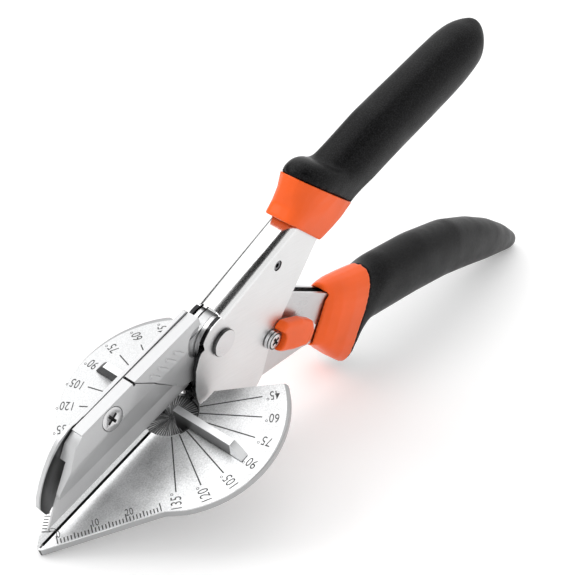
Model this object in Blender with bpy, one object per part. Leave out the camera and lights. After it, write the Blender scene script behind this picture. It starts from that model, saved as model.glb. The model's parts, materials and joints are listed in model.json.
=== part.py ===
# Mitre shears: a pointed protractor base with a swivelling fence, a fixed upper handle, and a
# hand lever that turns on the pivot pin and brings a trapezoid blade down into the slot of the base.
# Tool coordinates: origin on the base's top at the centre of the fence, +X along the slot to the
# handles, -Y on the near side, +Z up. The empty tool_frame then lays the tool on its tip and heel.
from math import atan2, cos, degrees, pi, radians, sin, sqrt, tan

import bmesh
import bpy
from mathutils import Matrix, Vector

# Clearances
GAP = 0.0003
SEAM = 0.00045
OVERRUN = 0.006

# Base plate
PLATE_THICK = 0.003
NOSE_REACH = 0.0567
NOSE_R = 0.0012
NOSE_HALF_ANGLE = radians(35.2)
RULER_EDGE = 0.0367
WING_R = 0.0356
WING_CENTRE_X = 0.0015
WING_FRONT_ANGLE = radians(133)
WING_REAR_ANGLE = radians(41)
WING_CORNER_R = 0.003
REAR_EDGE_ANGLE = radians(48.5)
SHOULDER_R = 0.004
SLOT_WIDTH = 0.0009
SLOT_END = 0.0024
POCKET_R = 0.0087
POCKET_DEPTH = 0.0056
BOSS_WALL = 0.0012
BOSS_DEPTH = 0.0082
NOTCH_FRONT = 0.0072
NOTCH_WIDTH = 0.0128
NOTCH_DEPTH = 0.0042
KEEL_FRONT = 0.0062
KEEL_LENGTH = 0.0145
KEEL_TOP = 0.0045
KEEL_BOTTOM = 0.011
RIVET_R = 0.0015
RIVET_HEAD_R = 0.0021
RIVET_HEAD_THICK = 0.0008
RIVET_PLACE_SHARES = ((0.45, 0.43), (0.78, 0.65))

# Fence and its screw
DISC_THICK = 0.0022
DISC_RIM_GAP = 0.0004
STEM_R = 0.003
STEM_BORE_R = 0.0017
FENCE_REACH = 0.0293
FENCE_HEIGHT = 0.0049
FENCE_INNER = 0.0034
FENCE_FOOT_WIDTH = 0.0031
FENCE_TOP_WIDTH = 0.0023
FENCE_END_SHARES = ((0.86, 1.0), (0.922, 0.65), (1.0, 0.0))
WASHER_R = 0.0055
WASHER_THICK = 0.0006
FENCE_SCREW_HEAD_R = 0.0028
FENCE_SCREW_HEAD_THICK = 0.0018

# Upper channel
PIVOT_X = 0.0221
PIVOT_Z = 0.0138
CHANNEL_WIDTH = 0.0098
CHANNEL_WALL = 0.0015
CHEEK_R = 0.0098
CHEEK_TOP_ANGLE = radians(79)
CHEEK_FRONT_ANGLE = radians(147)
FOOT_DEPTH = 0.0346
FOOT_STEP_Z = 0.0023
FOOT_CLEAR = 0.0005
FOOT_CORNER_R = 0.003
FOOT_FRONT_SHARES = ((-0.355, -0.038), (-0.413, -0.254), (-0.419, -0.39))
FOOT_LOW_SHARES = ((-0.118, -0.847), (0.171, -0.991), (0.272, -1.0), (0.379, -0.931), (0.523, -0.69))
FOOT_REAR_SHARE = (0.734, -0.465)
EAR_SHARE = (0.566, -0.561)
EAR_R = 0.004
SPINE_SETBACK = 0.0019
SPINE_HEIGHT = 0.0112
SPINE_RISE = radians(8.7)
SPINE_EDGE_R = 0.0038
TANG_HEIGHT = 0.0105
ROLL_PIN_R = 0.0015
ROLL_PIN_BORE_R = 0.0008
ROLL_PIN_X = 0.0282
ROLL_PIN_Z = 0.0072

# Pivot
PIN_R = 0.0025
PIN_HEAD_R = 0.0046
PIN_HEAD_THICK = 0.0009
PIN_TAIL_R = 0.0036
PIN_TAIL_THICK = 0.0012
PIVOT_WASHER_R = 0.0052
PIVOT_WASHER_THICK = 0.0008

# Upper handle: collar and grip along the tang
HANDLE_X = 0.0575
HANDLE_Z = 0.0267
HANDLE_LENGTH = 0.1168
GRIP_HEIGHT = 0.0212
GRIP_WIDTH = 0.0176
COLLAR_WALL = 0.001
TANG_SHARE = 0.578
CHANNEL_UNDER_SHARES = ((0.1755, -0.292), (0.107, -0.505), (0.0908, -0.566))
CHANNEL_KNEE_SHARE = 0.0385
UPPER_COLLAR_SHARES = (
    (0.0, 0.297, 0.109, -0.58, 0.0),
    (0.031, 0.406, 0.155, -0.57, 0.2),
    (0.05, 0.6, 0.21, -0.555, 0.5),
    (0.0745, 0.788, 0.262, -0.52, 0.9),
)
UPPER_COLLAR_BOXED = (9, 7, 4.5, 2.8)
UPPER_COLLAR_CROWN_BOXED = (4.2, 3.6, 2.9, 2.35)
UPPER_COLLAR_PINCH_SHARES = (0, 0.02, 0.15, 0)
UPPER_GRIP_SHARES = (
    (0.0745, 0.788, 0.262, -0.52, 0.943),
    (0.0925, 0.844, 0.276, -0.515, 0.955),
    (0.123, 0.835, 0.298, -0.51, 0.966),
    (0.153, 0.745, 0.32, -0.505, 0.97),
    (0.178, 0.62, 0.343, -0.5, 0.977),
    (0.201, 0.45, 0.372, -0.485, 0.977),
    (0.278, 0.467, 0.424, -0.467, 0.989),
    (0.407, 0.533, 0.509, -0.467, 1.0),
    (0.578, 0.524, 0.621, -0.476, 1.0),
    (0.749, 0.514, 0.741, -0.467, 1.0),
    (0.83, 0.495, 0.79, -0.44, 1.0),
    (0.875, 0.455, 0.835, -0.4, 0.97),
    (0.91, 0.4, 0.88, -0.36, 0.9),
    (0.936, 0.362, 0.921, -0.29, 0.64),
    (0.95, 0.345, 0.946, -0.17, 0.38),
    (0.953, 0.26, 0.954, -0.05, 0.18),
)
UPPER_GRIP_BOXED = (2.8, 2.7, 2.6, 2.5, 2.4)

# Lower arm
ARM_WALL = 0.0014
ARM_EYE_R = 0.0092
ARM_REACH = 0.0396
ARM_DROP = 0.0427
ARM_FRONT_SHARES = ((0.04, -0.213), (0.237, -0.37), (0.326, -0.511), (0.364, -0.651), (0.376, -0.827))
ARM_BOTTOM_SHARE = (0.894, -0.998)
ARM_TOP_SHARES = ((0.164, 0.152), (0.859, -0.295), (1.288, -0.7))

# Lower handle: collar and grip along the lever's tang
LOWER_LENGTH = 0.1443
LOWER_TANG_TOP_SHARES = ((0.168, 0.003), (0.286, -0.049), (0.449, -0.127))
LOWER_TANG_UNDER_SHARES = ((0.415, -0.186), (0.155, -0.091), (0.016, -0.025))
LOWER_BOW = 0.0026
LOWER_COLLAR_SHARES = (
    (0.086, 0.105, -0.003, -0.025, 0.0),
    (0.106, 0.095, 0.018, -0.045, 0.35),
    (0.136, 0.08, 0.036, -0.082, 0.65),
    (0.184, 0.053, 0.06, -0.136, 0.9),
    (0.242, 0.021, 0.087, -0.181, 0.966),
)
LOWER_COLLAR_BOXED = (5, 5, 4.6, 4.2, 3.8)
LOWER_GRIP_SHARES = (
    (0.242, 0.019, 0.087, -0.181, 0.966),
    (0.256, 0.012, 0.103, -0.189, 0.977),
    (0.268, 0.007, 0.117, -0.165, 0.982),
    (0.282, 0.002, 0.133, -0.138, 0.989),
    (0.306, -0.005, 0.174, -0.122, 0.989),
    (0.474, -0.08, 0.389, -0.227, 1.0),
    (0.629, -0.17, 0.54, -0.307, 1.0),
    (0.751, -0.267, 0.66, -0.383, 0.943),
    (0.848, -0.36, 0.764, -0.452, 0.864),
    (0.922, -0.446, 0.857, -0.512, 0.705),
    (0.977, -0.522, 0.933, -0.565, 0.5),
    (1.0, -0.569, 0.979, -0.588, 0.25),
)
LOWER_GRIP_BOXED = (3.8, 3.6, 3.3, 3.0, 2.8, 2.5)

# Blade
BLADE_LENGTH = 0.061
BLADE_BACK = 0.0335
BLADE_HEIGHT = 0.0183
BLADE_THICK = 0.0006
BLADE_EDGE_THICK = 0.0001
BLADE_GRIND = 0.0015
BLADE_FRONT_X = 0.0512
BLADE_FRONT_Z = 0.0036
BLADE_DIP = radians(0.8)
BLADE_PIN_R = 0.0009
BLADE_PIN_SPACING = 0.0165
BLADE_PIN_INSET = 0.0018

# Blade holder, clamp cover and rear shroud
CARRIER_TOP = 0.0282
HOLDER_LIP = 0.0007
PAD_SETBACK = 0.003
CARRIER_CORNER = 0.0008
CARRIER_FRONT = 0.046
CARRIER_REAR_GAP = 0.0046
CARRIER_ARC_GAP = 0.0005
RIDGE_Z = 0.0209
RIDGE_Y = 0.0033
TOP_EDGE_Y = 0.0021
TOP_SEAM_Y = 0.0016
CARRIER_STEP_Z = 0.0224
UNDER_Z = 0.0111
UNDER_X = -0.006
UNDER_SLOPE = 0.03
COVER_UNDER_Y = 0.0014
SHROUD_UNDER_Y = 0.0021
SHROUD_INNER_Y = 0.00175
LUG_WIDTH = 0.0028
LUG_FRONT = 0.004
LUG_TOP = 0.0216
COVER_FRONT_SHARES = ((-0.683, 1.06), (-0.683, 0.979), (-0.761, 0.929), (-0.963, 0.521), (-0.98, 0.3))
COVER_REAR_SHARES = ((0.09, 0.3), (0.052, 0.418), (-0.102, 0.784), (-0.215, 0.968), (-0.26, 1.06))
GUARD_OUTER_SHARES = (
    (-0.633, 1.0), (-0.7, 1.025), (-0.793, 0.989), (-0.87, 0.9), (-0.939, 0.791),
    (-1.0, 0.67), (-1.057, 0.525), (-1.08, 0.411), (-1.057, 0.241), (-1.039, 0.216),
)
GUARD_INNER_SHARES = ((-1.002, 0.255), (-0.95, 0.262), (-0.85, 0.3))
HEEL_SHARES = ((0.07, 0.5), (0.078, 0.405), (0.145, 0.27), (0.215, 0.228), (0.26, 0.24), (0.22, 0.5))
HEEL_Y = 0.0024
SCOOP_SHARE = (0.337, 0.709)
SCOOP_R = 0.0056
RIB_LENGTH = 0.0044
RIB_WIDTH = 0.0013
RIB_STAND = 0.0006
RIB_LEAN = radians(39)
RIB_COUNT = 4
RIB_FIRST_X = 0.0067
RIB_PITCH = 0.0034
RIB_Z = 0.0237
CLAMP_X = -0.021
CLAMP_Z = 0.024
CLAMP_HEAD_R = 0.0036
CLAMP_SHANK_R = 0.0015
CLAMP_HEAD_DEPTH = 0.0017
HOLDER_RIVET_R = 0.0013
HOLDER_RIVET_X = 0.0052
HOLDER_RIVET_DROP = 0.0042

# Latch
HOOK_THICK = 0.001
HOOK_WIDTH = 0.0054
HOOK_EYE_R = 0.0034
LATCH_REACH = 0.025
LATCH_ANGLE = radians(-36.9)
LATCH_SCREW_R = 0.0015
LATCH_HEAD_R = 0.0032
LATCH_HEAD_THICK = 0.0008
LEVER_THICK = 0.0037
LEVER_EDGE_R = 0.0012
LEVER_SHARES = (
    (0.0, 0.2), (0.07, 0.27), (0.44, 0.262), (0.74, 0.19), (0.84, 0.05),
    (0.83, -0.1), (0.74, -0.17), (0.45, -0.18), (0.16, -0.16), (0.02, -0.12),
)

# Return spring
SPRING_WIRE = 0.0009
SPRING_TURNS = 3.25
SPRING_PITCH = 0.0015
SPRING_STEPS = 10

# Facets of round shapes
ROUND_SIDES = 32
SMALL_SIDES = 20
SECTION_POINTS = 24
ARC_STEPS = 8
SECTION_POWER = 2.35
SHARP_ANGLE = radians(32)
EDGE_STEPS = 6

# Derived sizes
CHANNEL_HALF = CHANNEL_WIDTH / 2
CHANNEL_INNER = CHANNEL_HALF - CHANNEL_WALL
ARM_HALF = CHANNEL_INNER - GAP
ARM_INNER = ARM_HALF - ARM_WALL
BOSS_R = POCKET_R + BOSS_WALL
DISC_R = POCKET_R - DISC_RIM_GAP
DISC_BOTTOM = -POCKET_DEPTH + GAP
DISC_TOP = DISC_BOTTOM + DISC_THICK
PIVOT = (PIVOT_X, PIVOT_Z)
EAR = (PIVOT_X + EAR_SHARE[0] * FOOT_DEPTH, PIVOT_Z + EAR_SHARE[1] * FOOT_DEPTH)
ROLL_PIN = (PIVOT_X + ROLL_PIN_X, PIVOT_Z + ROLL_PIN_Z)
SPINE_X = PIVOT_X + SPINE_SETBACK
SPINE_Z = PIVOT_Z + SPINE_HEIGHT
LOWER_START = (PIVOT_X + ARM_REACH, PIVOT_Z - ARM_DROP)
HOLDER_RIVET = (PIVOT_X + HOLDER_RIVET_X, PIVOT_Z - HOLDER_RIVET_DROP)
CHEEK_FACE = CHANNEL_HALF + GAP
CARRIER_REAR = PIVOT_X - CARRIER_REAR_GAP
FACET_TILT = atan2(RIDGE_Y - TOP_EDGE_Y, CARRIER_TOP - RIDGE_Z)
FACET_Y = -TOP_EDGE_Y - (CARRIER_TOP - CLAMP_Z) * tan(FACET_TILT)
FACET_DEPTH = (ARM_HALF - FACET_Y) / cos(FACET_TILT)
KNEE_X = HANDLE_X + CHANNEL_KNEE_SHARE * HANDLE_LENGTH
TANG_END = HANDLE_X + TANG_SHARE * HANDLE_LENGTH
WASHER_TOP = -BOSS_DEPTH - GAP
KEEL_REAR = KEEL_FRONT + KEEL_LENGTH
RIVET_PLACES = [(KEEL_FRONT + u * KEEL_LENGTH, -KEEL_TOP - w * (KEEL_BOTTOM - KEEL_TOP))
                for u, w in RIVET_PLACE_SHARES]


# Outlines
def placed(shares, origin, size_x, size_z):
    return [(origin[0] + u * size_x, origin[1] + w * size_z) for u, w in shares]


def arc(centre, radius, start, end, steps=ARC_STEPS):
    turns = [start + (end - start) * i / steps for i in range(steps + 1)]
    return [(centre[0] + radius * cos(t), centre[1] + radius * sin(t)) for t in turns]


def circle(centre, radius, sides=ROUND_SIDES):
    return arc(centre, radius, 0, 2 * pi, sides)[:-1]


def corner(previous, point, following, radius, steps=3):
    here = Vector(point)
    before = Vector(previous) - here
    after = Vector(following) - here
    turn = pi - before.angle(after)
    if turn < radians(4):
        return [tuple(here)]
    reach = min(radius * tan(turn / 2), before.length * 0.45, after.length * 0.45)
    first = here + before.normalized() * reach
    last = here + after.normalized() * reach
    shares = [k / steps for k in range(steps + 1)]
    return [tuple(first * (1 - t) ** 2 + here * 2 * t * (1 - t) + last * t ** 2) for t in shares]


def rounded(points, radius, steps=3):
    result = []
    for i, point in enumerate(points):
        result += corner(points[i - 1], point, points[(i + 1) % len(points)], radius, steps)
    return result


def grown(points, amount):
    area = sum(a[0] * b[1] - b[0] * a[1] for a, b in zip(points, points[1:] + points[:1]))
    side = 1 if area > 0 else -1
    result = []
    for i, point in enumerate(points):
        here = Vector(point)
        into = (here - Vector(points[i - 1])).normalized()
        out = (Vector(points[(i + 1) % len(points)]) - here).normalized()
        normal_in = Vector((into.y, -into.x)) * side
        normal_out = Vector((out.y, -out.x)) * side
        middle = (normal_in + normal_out).normalized()
        result.append(tuple(here + middle * amount / max(middle.dot(normal_in), 0.5)))
    return result


def spine_height(x):
    return SPINE_Z + (x - SPINE_X) * tan(SPINE_RISE)


def under_line(x):
    return UNDER_Z - (x - UNDER_X) * UNDER_SLOPE


# Solids
def plain_cap(bm, loop):
    bm.faces.new(loop)


def bowed_cap(bm, loop):
    count = len(loop)
    for i in range(-count // 4, count // 4):
        corners = [loop[k % count] for k in (i, i + 1, count // 2 - i - 1, count // 2 - i)]
        bm.faces.new(list(dict.fromkeys(corners)))


def solid(name, rings, cap=plain_cap):
    mesh = bpy.data.meshes.new(name)
    bm = bmesh.new()
    loops = [[bm.verts.new(point) for point in ring] for ring in rings]
    for first, second in zip(loops, loops[1:]):
        for i, vert in enumerate(first):
            j = (i + 1) % len(first)
            bm.faces.new((vert, first[j], second[j], second[i]))
    cap(bm, loops[0])
    cap(bm, loops[-1])
    bmesh.ops.recalc_face_normals(bm, faces=bm.faces)
    bm.to_mesh(mesh)
    bm.free()
    piece = bpy.data.objects.new(name, mesh)
    bpy.context.scene.collection.objects.link(piece)
    return piece


def side_plate(name, outline, near, far):
    return solid(name, [[(x, y, z) for x, z in outline] for y in (near, far)])


def flat_plate(name, outline, bottom, top):
    return solid(name, [[(x, y, z) for x, y in outline] for z in (bottom, top)])


def cross_rod(name, centre, profile, sides=SMALL_SIDES):
    return solid(name, [[(x, y, z) for x, z in circle(centre, r, sides)] for y, r in profile])


def upright_rod(name, centre, profile, sides=ROUND_SIDES):
    return solid(name, [[(x, y, z) for x, y in circle(centre, r, sides)] for z, r in profile])


def combine(target, other, operation):
    step = target.modifiers.new(operation.lower(), "BOOLEAN")
    step.operation = operation
    step.object = other
    bpy.context.view_layer.objects.active = target
    bpy.ops.object.modifier_apply(modifier=step.name)
    bpy.data.meshes.remove(other.data)
    return target


def cut(target, *tools):
    for tool in tools:
        combine(target, tool, "DIFFERENCE")
    return target


def fuse(target, *others):
    for other in others:
        combine(target, other, "UNION")
    return target


def material(name, colour, roughness, metallic):
    made = bpy.data.materials.new(name)
    made.use_nodes = True
    shader = made.node_tree.nodes["Principled BSDF"]
    shader.inputs["Base Color"].default_value = (*colour, 1)
    shader.inputs["Roughness"].default_value = roughness
    shader.inputs["Metallic"].default_value = metallic
    return made


axis_places = {}


def finish(piece, axis, centre, look):
    piece.data.transform(Matrix.Translation(-Vector(centre)))
    piece.parent = axis
    piece.location = Vector(centre) - axis_places[axis.name]
    piece.data.materials.clear()
    piece.data.materials.append(look)
    piece.data.shade_smooth()
    piece.data.set_sharp_from_angle(angle=SHARP_ANGLE)


def axis_empty(name, place, parent=None):
    empty = bpy.data.objects.new(name, None)
    bpy.context.scene.collection.objects.link(empty)
    axis_places[name] = Vector(place)
    empty.parent = parent
    empty.location = Vector(place) - (axis_places[parent.name] if parent else Vector())
    return empty


# Base and fence
def base_outline():
    shoulder_x = -NOSE_REACH + RULER_EDGE * cos(NOSE_HALF_ANGLE)
    shoulder_y = RULER_EDGE * sin(NOSE_HALF_ANGLE)
    shoulder = (shoulder_x, shoulder_y)
    wing = arc((WING_CENTRE_X, 0), WING_R, WING_FRONT_ANGLE, WING_REAR_ANGLE, 3 * ARC_STEPS)
    notch_y = NOTCH_WIDTH / 2
    edge_x = wing[-1][0] - (wing[-1][1] - notch_y) / tan(REAR_EDGE_ANGLE)
    nose = corner((shoulder_x, -shoulder_y), (-NOSE_REACH, 0), shoulder, NOSE_R)
    bend = corner(nose[-1], shoulder, wing[0], SHOULDER_R)
    rear = corner(wing[-3], wing[-1], (edge_x, notch_y), WING_CORNER_R)
    half = nose[2:] + bend + wing[:-2] + rear
    half += [(edge_x, notch_y), (NOTCH_FRONT, notch_y)]
    return half + [(x, -y) for x, y in reversed(half)]


def base_plate():
    plate = flat_plate("base_plate", base_outline(), -PLATE_THICK, 0)
    boss = upright_rod("boss", (0, 0), ((-BOSS_DEPTH, BOSS_R), (-PLATE_THICK / 2, BOSS_R)))
    fuse(plate, boss)
    keel = [(KEEL_FRONT, -ARM_HALF), (KEEL_FRONT, ARM_HALF),
            (KEEL_REAR, ARM_HALF), (KEEL_REAR, -ARM_HALF)]
    fuse(plate, flat_plate("keel", keel, -KEEL_BOTTOM, -KEEL_TOP))
    pocket = upright_rod("pocket", (0, 0), ((-POCKET_DEPTH, POCKET_R), (OVERRUN, POCKET_R)))
    hole = STEM_R + GAP
    stem_hole = upright_rod("stem_hole", (0, 0), ((-BOSS_DEPTH - OVERRUN, hole), (0, hole)))
    notch_y = NOTCH_WIDTH / 2
    notch = [(NOTCH_FRONT, -notch_y), (BOSS_R + OVERRUN, -notch_y),
             (BOSS_R + OVERRUN, notch_y), (NOTCH_FRONT, notch_y)]
    slot_y = SLOT_WIDTH / 2
    slot_front = SLOT_END - NOSE_REACH
    slot = [(slot_front, -slot_y), (0, -slot_y), (0, slot_y), (slot_front, slot_y)]
    cut(plate, pocket, stem_hole, flat_plate("notch", notch, -NOTCH_DEPTH, OVERRUN),
        flat_plate("slot", slot, -POCKET_DEPTH, OVERRUN))
    hole = RIVET_R + GAP
    for place in RIVET_PLACES:
        cut(plate, cross_rod("rivet_hole", place, ((-CHANNEL_HALF, hole), (CHANNEL_HALF, hole))))
    return plate


def fence():
    disc = upright_rod("fence", (0, 0), ((DISC_BOTTOM, DISC_R), (DISC_TOP, DISC_R)))
    fuse(disc, upright_rod("stem", (0, 0), ((-BOSS_DEPTH, STEM_R), (DISC_BOTTOM + GAP, STEM_R))))
    ends = [(u * FENCE_REACH, GAP + w * (FENCE_HEIGHT - GAP)) for u, w in FENCE_END_SHARES]
    riser = sqrt(DISC_R ** 2 - (FENCE_FOOT_WIDTH / 2) ** 2) - GAP / 2
    root = DISC_TOP - DISC_THICK / 2
    outline = [(FENCE_INNER, root), (FENCE_INNER, FENCE_HEIGHT)] + ends + [(riser, GAP), (riser, root)]
    for side in (-1, 1):
        rings = []
        for face in (-1, 1):
            ring = []
            for y, z in outline:
                rise = max(z, 0) / FENCE_HEIGHT
                half = (FENCE_FOOT_WIDTH + (FENCE_TOP_WIDTH - FENCE_FOOT_WIDTH) * rise) / 2
                ring.append((face * half, side * y, z))
            rings.append(ring)
        fuse(disc, solid("fence_arm", rings))
    bore = ((-BOSS_DEPTH - OVERRUN, STEM_BORE_R), (DISC_BOTTOM + DISC_THICK / 2, STEM_BORE_R))
    return cut(disc, upright_rod("stem_bore", (0, 0), bore, SMALL_SIDES))


def fence_washer():
    low = WASHER_TOP - WASHER_THICK
    ring = upright_rod("fence_washer", (0, 0), ((low, WASHER_R), (WASHER_TOP, WASHER_R)))
    hole = upright_rod("hole", (0, 0), ((low - OVERRUN, STEM_BORE_R), (0, STEM_BORE_R)), SMALL_SIDES)
    return cut(ring, hole)


def fence_screw():
    seat = WASHER_TOP - WASHER_THICK - GAP
    shank = STEM_BORE_R - GAP
    profile = ((seat - FENCE_SCREW_HEAD_THICK, FENCE_SCREW_HEAD_R), (seat, FENCE_SCREW_HEAD_R),
               (seat, shank), (DISC_BOTTOM + DISC_THICK / 2 - GAP, shank))
    return upright_rod("fence_screw", (0, 0), profile, SMALL_SIDES)


# Upper channel, its pins and rivets
def channel_outline():
    head = arc(PIVOT, CHEEK_R, CHEEK_TOP_ANGLE, CHEEK_FRONT_ANGLE)
    front = placed(FOOT_FRONT_SHARES, PIVOT, FOOT_DEPTH, FOOT_DEPTH)
    step_x = BOSS_R + FOOT_CLEAR
    step_z = -FOOT_STEP_Z
    steps = [(front[-1][0] + FOOT_CLEAR, step_z), (step_x, step_z), (step_x, -KEEL_BOTTOM)]
    low = placed(FOOT_LOW_SHARES, PIVOT, FOOT_DEPTH, FOOT_DEPTH)
    ear = arc(EAR, EAR_R, radians(-100), radians(0), 6)
    rear = placed([FOOT_REAR_SHARE], PIVOT, FOOT_DEPTH, FOOT_DEPTH)
    under = placed(CHANNEL_UNDER_SHARES, (HANDLE_X, HANDLE_Z), HANDLE_LENGTH, GRIP_HEIGHT)
    half = TANG_HEIGHT / 2
    tang = under[::-1] + [(TANG_END, HANDLE_Z - half), (TANG_END, HANDLE_Z + half)]
    top = [(KNEE_X, spine_height(KNEE_X)), (SPINE_X, SPINE_Z)]
    foot = rounded([head[-1]] + front + steps + low + [ear[0]], FOOT_CORNER_R)
    return head[:-1] + foot[1:-1] + ear + rear + tang + top


def spine_frame(x, y, down):
    along = Vector((cos(SPINE_RISE), 0, sin(SPINE_RISE)))
    below = Vector((sin(SPINE_RISE), 0, -cos(SPINE_RISE)))
    return Vector((SPINE_X, y, SPINE_Z)) + along * x + below * down


def spine_edge_cutter(side):
    edge = CHANNEL_HALF - SPINE_EDGE_R
    outside = CHANNEL_HALF + OVERRUN
    turns = [radians(90) * i / EDGE_STEPS for i in range(EDGE_STEPS + 1)]
    section = [(edge + SPINE_EDGE_R * cos(t), SPINE_EDGE_R * (1 - sin(t))) for t in turns]
    section += [(edge, -OVERRUN), (outside, -OVERRUN), (outside, SPINE_EDGE_R)]
    reach = KNEE_X - SPINE_X + OVERRUN
    rings = [[spine_frame(x, side * y, down) for y, down in section] for x in (-GAP, reach)]
    return solid("spine_edge", rings)


def upper_channel():
    channel = side_plate("upper_channel", channel_outline(), -CHANNEL_HALF, CHANNEL_HALF)
    low = PIVOT_Z - FOOT_DEPTH - OVERRUN
    beyond = TANG_END + OVERRUN
    hollow = [(SPINE_X, SPINE_Z + OVERRUN), (SPINE_X, SPINE_Z - CHANNEL_WALL),
              (KNEE_X, spine_height(KNEE_X) - CHANNEL_WALL),
              (beyond, HANDLE_Z + TANG_HEIGHT / 2 - CHANNEL_WALL),
              (beyond, low), (-OVERRUN, low), (-OVERRUN, SPINE_Z + OVERRUN)]
    cut(channel, side_plate("hollow", hollow, -CHANNEL_INNER, CHANNEL_INNER))
    cut(channel, spine_edge_cutter(-1), spine_edge_cutter(1))
    through = CHANNEL_HALF + OVERRUN
    holes = [(PIVOT, PIN_R + GAP), (ROLL_PIN, ROLL_PIN_R + GAP), (EAR, LATCH_SCREW_R + GAP)]
    holes += [(place, RIVET_R + GAP) for place in RIVET_PLACES]
    for place, radius in holes:
        cut(channel, cross_rod("hole", place, ((-through, radius), (through, radius))))
    return channel


def pivot_pin():
    head = -CHEEK_FACE - PIN_HEAD_THICK
    seat = CHEEK_FACE + PIVOT_WASHER_THICK + GAP
    tail = seat + PIN_TAIL_THICK
    edge = PIN_HEAD_THICK / 4
    profile = ((head, PIN_HEAD_R - edge), (head + edge, PIN_HEAD_R), (-CHEEK_FACE, PIN_HEAD_R),
               (-CHEEK_FACE, PIN_R), (seat, PIN_R), (seat, PIN_TAIL_R),
               (seat + PIN_TAIL_THICK / 2, PIN_TAIL_R), (tail, PIN_TAIL_R - edge))
    return cross_rod("pivot_pin", PIVOT, profile, ROUND_SIDES)


def pivot_washer():
    far = CHEEK_FACE + PIVOT_WASHER_THICK
    profile = ((CHEEK_FACE, PIVOT_WASHER_R), (far, PIVOT_WASHER_R))
    ring = cross_rod("pivot_washer", PIVOT, profile, ROUND_SIDES)
    hole = PIN_R + GAP
    return cut(ring, cross_rod("hole", PIVOT, ((0, hole), (far + OVERRUN, hole)), ROUND_SIDES))


def base_rivet(name, place):
    head = CHEEK_FACE + RIVET_HEAD_THICK
    dome = RIVET_HEAD_R - RIVET_HEAD_THICK / 2
    profile = ((-head, dome), (-CHEEK_FACE, RIVET_HEAD_R), (-CHEEK_FACE, RIVET_R),
               (CHEEK_FACE, RIVET_R), (CHEEK_FACE, RIVET_HEAD_R), (head, dome))
    return cross_rod(name, place, profile)


def roll_pin():
    end = CHANNEL_HALF - GAP
    pin = cross_rod("roll_pin", ROLL_PIN, ((-end, ROLL_PIN_R), (end, ROLL_PIN_R)))
    bore = ((-end - OVERRUN, ROLL_PIN_BORE_R), (end + OVERRUN, ROLL_PIN_BORE_R))
    return cut(pin, cross_rod("bore", ROLL_PIN, bore, SMALL_SIDES))


# Return spring
def spring_points():
    radius = ROLL_PIN_R + GAP + SPRING_WIRE / 2
    count = round(SPRING_TURNS * SPRING_STEPS)
    start = -SPRING_TURNS * SPRING_PITCH / 2
    leg_x = ROLL_PIN[0] - radius
    arm_start, arm_end = arm_over()[:2]
    slope = (arm_end[1] - arm_start[1]) / (arm_end[0] - arm_start[0])
    rest = arm_start[1] + (leg_x - arm_start[0]) * slope + SPRING_WIRE + GAP
    points = [Vector((leg_x, start, rest))]
    for i in range(count + 1):
        turn = pi - 2 * pi * i / SPRING_STEPS
        y = start + SPRING_PITCH * i / SPRING_STEPS
        points.append(Vector((ROLL_PIN[0] + radius * cos(turn), y, ROLL_PIN[1] + radius * sin(turn))))
    spine_x = points[-1].x + radius
    under = spine_height(spine_x) - CHANNEL_WALL / cos(SPINE_RISE) - SPRING_WIRE / 2 - GAP
    points.append(Vector((spine_x, points[-1].y, under)))
    return points


def spring_gap(points):
    coil = points[1:-1]
    least = SPRING_PITCH * SPRING_TURNS
    for i, point in enumerate(coil):
        for other in coil[i + SPRING_STEPS // 2 + 2:]:
            least = min(least, (point - other).length - SPRING_WIRE)
    return least


def return_spring():
    points = spring_points()
    curve = bpy.data.curves.new("return_spring", "CURVE")
    curve.dimensions = "3D"
    curve.bevel_depth = SPRING_WIRE / 2
    curve.bevel_resolution = 1
    curve.use_fill_caps = True
    spline = curve.splines.new("POLY")
    spline.points.add(len(points) - 1)
    for node, point in zip(spline.points, points):
        node.co = (*point, 1)
    wire = bpy.data.objects.new("return_spring_curve", curve)
    bpy.context.scene.collection.objects.link(wire)
    shape = wire.evaluated_get(bpy.context.evaluated_depsgraph_get())
    mesh = bpy.data.meshes.new_from_object(shape)
    bpy.data.objects.remove(wire)
    spring = bpy.data.objects.new("return_spring", mesh)
    bpy.context.scene.collection.objects.link(spring)
    print("least gap between the spring's turns, mm:", round(spring_gap(points) * 1000, 2))
    return spring


# Handles
def station(top, bottom, half_width, bow=0, low_power=SECTION_POWER, pinch=0, top_power=SECTION_POWER):
    middle = (Vector(top) + Vector(bottom)) / 2
    up = (Vector(top) - Vector(bottom)) / 2
    forward = Vector((-up.y, up.x)).normalized() * bow
    ring = []
    for i in range(SECTION_POINTS):
        turn = 2 * pi * i / SECTION_POINTS
        power = low_power if sin(turn) < 0 else top_power
        side = abs(cos(turn)) ** (2 / power) * (1 if cos(turn) > 0 else -1)
        rise = abs(sin(turn)) ** (2 / power) * (1 if sin(turn) > 0 else -1)
        place = middle + up * rise + forward * (1 - rise * rise)
        ring.append((place.x, half_width * side * (1 - pinch * max(rise, 0)), place.y))
    return ring


def handle_rings(shares, origin, size_x, size_z, front_half, shift=0, bows=(), powers=(), pinches=(),
                 crowns=()):
    rings = []
    rest = len(shares)
    bows = list(bows) + [0] * rest
    powers = list(powers) + [SECTION_POWER] * rest
    pinches = list(pinches) + [0] * rest
    crowns = list(crowns) + [SECTION_POWER] * rest
    for i, (top_x, top_z, low_x, low_z, width) in enumerate(shares):
        top = (origin[0] + top_x * size_x + shift, origin[1] + top_z * size_z)
        low = (origin[0] + low_x * size_x + shift, origin[1] + low_z * size_z)
        half_width = front_half + (GRIP_WIDTH / 2 - front_half) * width
        rings.append(station(top, low, half_width, bows[i], powers[i], pinches[i], crowns[i]))
        shift = 0
    return rings


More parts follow.
